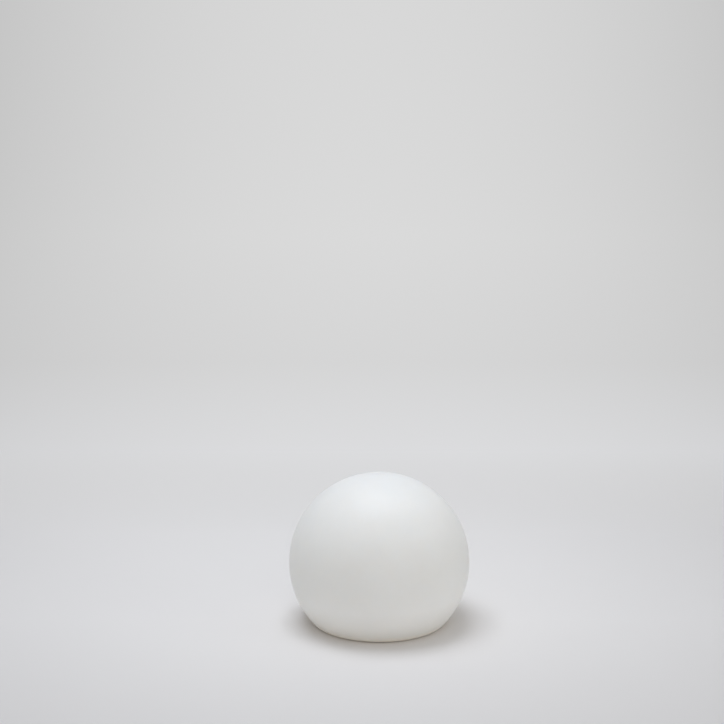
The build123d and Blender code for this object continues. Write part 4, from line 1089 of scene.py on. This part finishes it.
def make_resistors():
    """Chip resistors: the dark bodies, and their tinned ends as a piece of their own."""
    board_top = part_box("board_chips")[0].z
    length, width, height = RESISTOR_SIZE
    body = block((length - 2 * RESISTOR_CAP, width, height), (0, 0, board_top + height / 2))
    start_edit(body)
    pick_top(body)
    bpy.ops.mesh.inset(thickness=RESISTOR_TOP_RIM * width, depth=-RESISTOR_TOP_SINK * height)
    end_edit()
    end_width = RESISTOR_CAP_GROWTH * width
    end_height = RESISTOR_CAP_GROWTH * height
    end_middle = ((length - RESISTOR_CAP) / 2, 0, board_top + end_height / 2)
    end = block((RESISTOR_CAP, end_width, end_height), end_middle)
    soften(end, RESISTOR_CAP_EDGE)
    bodies = join_all(copies(body, unturned(RESISTOR_SPOTS)), "resistors")
    end_places = [(spot, turn) for spot in RESISTOR_SPOTS for turn in (0.0, math.pi)]
    ends = join_all(copies(end, end_places), "resistor_ends")
    smooth(ends, 40)
    return bodies, ends


def make_cell_rings():
    """Paper washers round the raised end of each cell."""
    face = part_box("battery_cells")[1].x - CELL_BUTTON + WASHER_GAP
    rings = []
    for along, height in CELL_AXES:
        middle = (face, along, height)
        radius = WASHER_RADII[0]
        deselect_all()
        bpy.ops.mesh.primitive_circle_add(
            vertices=WASHER_SEGMENTS,
            radius=radius,
            fill_type="NOTHING",
            location=middle,
            rotation=(0, math.pi / 2, 0),
        )
        ring = added()
        start_edit(ring)
        pick_all()
        for next_radius in WASHER_RADII[1:]:
            extrude_edges((0, 0, 0))
            growth = next_radius / radius
            bpy.ops.transform.resize(value=(1, growth, growth), center_override=middle)
            radius = next_radius
        face_out()
        end_edit()
        thicken(ring, WASHER_THICKNESS, 0)
        rings.append(ring)
    return join_all(rings, "cell_rings")


def make_foot_pads():
    """Rubber feet with rings cut in the sole."""
    low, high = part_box("foot_pads")
    # The feet stand on the diagonals
    circle = (high.x - FOOT_RADIUS) * math.sqrt(2)
    outline = rounding(FOOT_RADIUS, low.z, FOOT_ROUNDING)
    outline.append((FOOT_RADIUS, high.z - FOOT_TOP_BEVEL))
    outline.append((FOOT_RADIUS - FOOT_TOP_BEVEL, high.z))
    pattern = turn_up(outline, (0, 0), FOOT_SEGMENTS)
    start_edit(pattern)
    pick_sole(pattern, low.z)
    for _ in range(FOOT_GROOVES):
        inset_rings(FOOT_GROOVE)
    end_edit()
    places = unturned(spot for spot, turn in places_round(circle, FOOT_COUNT, FOOT_START))
    pads = join_all(copies(pattern, places), "foot_pads_ribbed")
    smooth(pads, 40)
    return pads


def make_button():
    """Push button with a dished face, its seal groove, flange and stem."""
    low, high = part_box("power_button")
    groove_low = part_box("button_oring")[0].z
    groove_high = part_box("button_oring")[1].z
    spot = ((low.x + high.x) / 2, (low.y + high.y) / 2)
    flange_top = high.z - STEM_LENGTH
    flange_bottom = flange_top - BUTTON_FLANGE_THICKNESS
    outline = rounding(BUTTON_RADIUS, low.z, BUTTON_ROUNDING)
    outline += [
        (BUTTON_RADIUS, groove_low),
        (BUTTON_GROOVE_RADIUS, groove_low),
        (BUTTON_GROOVE_RADIUS, groove_high),
        (BUTTON_RADIUS, groove_high),
        (BUTTON_RADIUS, flange_bottom),
        (BUTTON_FLANGE_RADIUS, flange_bottom),
        (BUTTON_FLANGE_RADIUS, flange_top),
        (STEM_RADIUS, flange_top),
        (STEM_RADIUS, high.z - STEM_BEVEL),
        (STEM_RADIUS - STEM_BEVEL, high.z),
    ]
    button = turn_up(outline, spot, BUTTON_SEGMENTS)
    start_edit(button)
    pick_sole(button, low.z)
    inset_rings(BUTTON_DISH)
    end_edit()
    button.name = "button"
    smooth(button, 35)
    return button


def make_sweep():
    """Floor that bends up into the backdrop in one sheet."""
    length = SWEEP_BEND_START - SWEEP_FRONT
    middle = (SWEEP_BEND_START + SWEEP_FRONT) / 2
    bend_centre = (SWEEP_BEND_START, SWEEP_BEND_RADIUS)
    rise = arc(bend_centre, SWEEP_BEND_RADIUS, -90, 0, SWEEP_BEND_STEPS)
    rise.append((rise[-1][0], SWEEP_TOP))
    deselect_all()
    bpy.ops.mesh.primitive_plane_add(size=1, location=(0, middle, 0))
    sweep = added((2 * SWEEP_HALF_WIDTH, length, 1))
    start_edit(sweep)
    pick_points(sweep, lambda place: place.y > SWEEP_BEND_START - NEAR)
    depth = SWEEP_BEND_START
    height = 0.0
    for next_depth, next_height in rise:
        extrude_edges((0, next_depth - depth, next_height - height))
        depth = next_depth
        height = next_height
    face_out(inside=True)
    end_edit()
    sweep.name = "paper_sweep"
    smooth(sweep, 30)
    return sweep


def set_camera():
    camera_data = bpy.data.cameras.new("camera")
    camera_data.sensor_width = SENSOR_WIDTH
    camera_data.lens = SENSOR_WIDTH * FOCAL_PIXELS / IMAGE_WIDTH
    camera_data.clip_end = CAMERA_REACH
    camera = bpy.data.objects.new("camera", camera_data)
    camera.location = CAMERA_PLACE
    camera.rotation_euler = (CAMERA_TILT, 0, 0)
    bpy.context.scene.collection.objects.link(camera)
    bpy.context.scene.camera = camera


def add_softbox(name, place, aim, size, power, colour):
    lamp = bpy.data.lights.new(name, "AREA")
    lamp.shape = "RECTANGLE"
    lamp.size, lamp.size_y = size
    lamp.energy = power
    lamp.color = colour
    lamp_object = bpy.data.objects.new(name, lamp)
    lamp_object.location = place
    direction = Vector(aim) - Vector(place)
    lamp_object.rotation_euler = direction.to_track_quat("-Z", "Y").to_euler()
    lamp_object.visible_camera = False
    bpy.context.scene.collection.objects.link(lamp_object)


def set_light():
    """Soft room light with a large softbox overhead and two weak ones, on the right and in front.

    The room is seen, and mirrored, at the plain tone of the far paper.
    """
    world = bpy.data.worlds.new("studio")
    world.use_nodes = True
    tree = world.node_tree
    sky = tree.nodes["Background"]
    place = tree.nodes.new("ShaderNodeTexCoord")
    parts = tree.nodes.new("ShaderNodeSeparateXYZ")
    ramp = tree.nodes.new("ShaderNodeValToRGB")
    set_ramp(ramp, ROOM_TONES)
    backdrop = tree.nodes.new("ShaderNodeBackground")
    backdrop.inputs["Color"].default_value = (*ROOM_SEEN_COLOUR, 1.0)
    seen = tree.nodes.new("ShaderNodeMixShader")
    links = (
        (place.outputs["Generated"], parts.inputs["Vector"]),
        (parts.outputs["Z"], ramp.inputs["Fac"]),
        (ramp.outputs["Color"], sky.inputs["Color"]),
        (plain_sight(tree), seen.inputs["Fac"]),
        (sky.outputs["Background"], seen.inputs[1]),
        (backdrop.outputs["Background"], seen.inputs[2]),
        (seen.outputs["Shader"], tree.nodes["World Output"].inputs["Surface"]),
    )
    for out, socket in links:
        tree.links.new(out, socket)
    bpy.context.scene.world = world
    for softbox in SOFTBOXES:
        add_softbox(*softbox)


# Scene
bpy.context.scene.view_settings.view_transform = "Standard"
casing = grained_plastic("casing_white", (0.84, 0.845, 0.84), 0.46, 0.16)
ring_plastic = grained_plastic("ring_grey", (0.40, 0.415, 0.43), 0.50, 0.22)
button_plastic = grained_plastic("button_grey", (0.30, 0.31, 0.32), 0.45, 0.18)
tray_plastic = grained_plastic("tray_black", (0.045, 0.045, 0.048), 0.52, 0.18)
chip_resin = grained_plastic("chip_black", (0.032, 0.032, 0.035), 0.50, 0.28)
jack_plastic = grained_plastic("jack_black", (0.030, 0.030, 0.032), 0.36, 0.08)
nylon = grained_plastic("connector_cream", (0.80, 0.77, 0.67), 0.42, 0.08)
washer_paper = grained_plastic("washer_paper", (0.74, 0.73, 0.69), 0.75, 0.30)
black_rubber = soft_rubber("rubber_black", (0.035, 0.035, 0.036))
grey_rubber = soft_rubber("rubber_grey", (0.17, 0.175, 0.18))
screw_steel = drawn_metal("screw_steel", (0.62, 0.62, 0.63), 0.30, (1.0, 1.0, 6.0))
brass = drawn_metal("insert_brass", (0.76, 0.58, 0.27), 0.34, (1.0, 1.0, 7.0))
tinned_copper = drawn_metal("ribbon_silver", (0.74, 0.74, 0.75), 0.36, (8.0, 1.0, 1.0))
nickel = drawn_metal("tab_nickel", (0.66, 0.65, 0.62), 0.30, (1.0, 8.0, 1.0))
can_aluminium = drawn_metal("capacitor_silver", (0.76, 0.77, 0.78), 0.30, (5.0, 5.0, 0.6))
solder = drawn_metal("bright_solder", (0.70, 0.71, 0.72), 0.26, (1.0, 1.0, 1.0))
green_mask = solder_mask("board_green", (0.018, 0.16, 0.075), (0.035, 0.24, 0.115))
white_mask = solder_mask("led_board_white", (0.82, 0.825, 0.815), (0.87, 0.872, 0.86))
solar_vinyl = lead_insulation("solar_lead_vinyl", (1, -1.5254, 0), 0.00412)
battery_vinyl = lead_insulation("battery_lead_vinyl", (1, -0.614, 0), 0.0269, 0.0165)
led_vinyl = lead_insulation("led_lead_vinyl", (1, 0, 0), 0.0)

dress_nodes(casing, "neck_collar", "module_housing", "base_plate")
dress_nodes(grey_rubber, "collar_gasket", "plate_gasket", "port_cap")
dress_nodes(black_rubber, "base_oring", "lead_grommet", "dome_seal")
dress_nodes(black_rubber, "battery_strap", "button_oring", "jack_washer")
dress_nodes(screw_steel, *[name for name in nodes if name.endswith("_screws")])
dress_nodes(brass, "seat_inserts")
dress_nodes(ring_plastic, "lock_ring")
dress_nodes(clear_window(), "solar_window")
dress_nodes(silicon_wafer(), "solar_cells")
dress_nodes(tinned_copper, "cell_ribbons")
dress_nodes(panel_laminate(), "solar_backing")
dress_nodes(white_mask, "led_board")
dress_nodes(led_package(), "led_chips")
dress_nodes(frosted_dome(), "diffuser_dome")
dress_nodes(tray_plastic, "battery_holder")
dress_nodes(shrink_sleeve(), "battery_cells")
dress_nodes(nickel, "battery_tabs", "jack_pin", "jack_nut")
dress_nodes(green_mask, "main_board")
dress_nodes(chip_resin, "board_chips", "tact_switch")
dress_nodes(jack_plastic, "switch_plunger", "charge_jack")
dress_nodes(solar_vinyl, "solar_leads")
dress_nodes(battery_vinyl, "battery_leads")
dress_nodes(led_vinyl, "led_leads")

put(make_globe(), moulded_globe_white(), "globe", "globe_white", "globe_shell")
put(make_led_lenses(), phosphor_gel(), "base", "led_yellow")
put(make_led_solder(), solder, "base", "tab_nickel")
put(make_lead_solder(), solder, "base", "tab_nickel")
put(make_chip_legs(), nickel, "base", "tab_nickel")
put(make_connectors(), nylon, "base", "connector_cream", "board_connectors")
put(make_capacitors(), can_aluminium, "base", "capacitor_silver", "board_capacitors")
put(make_inductor(), sintered_ferrite(), "base", "ferrite_grey", "board_inductor")
resistors, resistor_ends = make_resistors()
put(resistors, chip_resin, "base", "chip_black")
put(resistor_ends, solder, "base", "tab_nickel")
put(make_cell_rings(), washer_paper, "base", "backing_white")
put(make_foot_pads(), grey_rubber, "base", "rubber_grey", "foot_pads")
put(make_button(), button_plastic, "power_button", "button_grey", "power_button")
sweep = make_sweep()
dress(sweep, paper_sweep())
set_camera()
set_light()
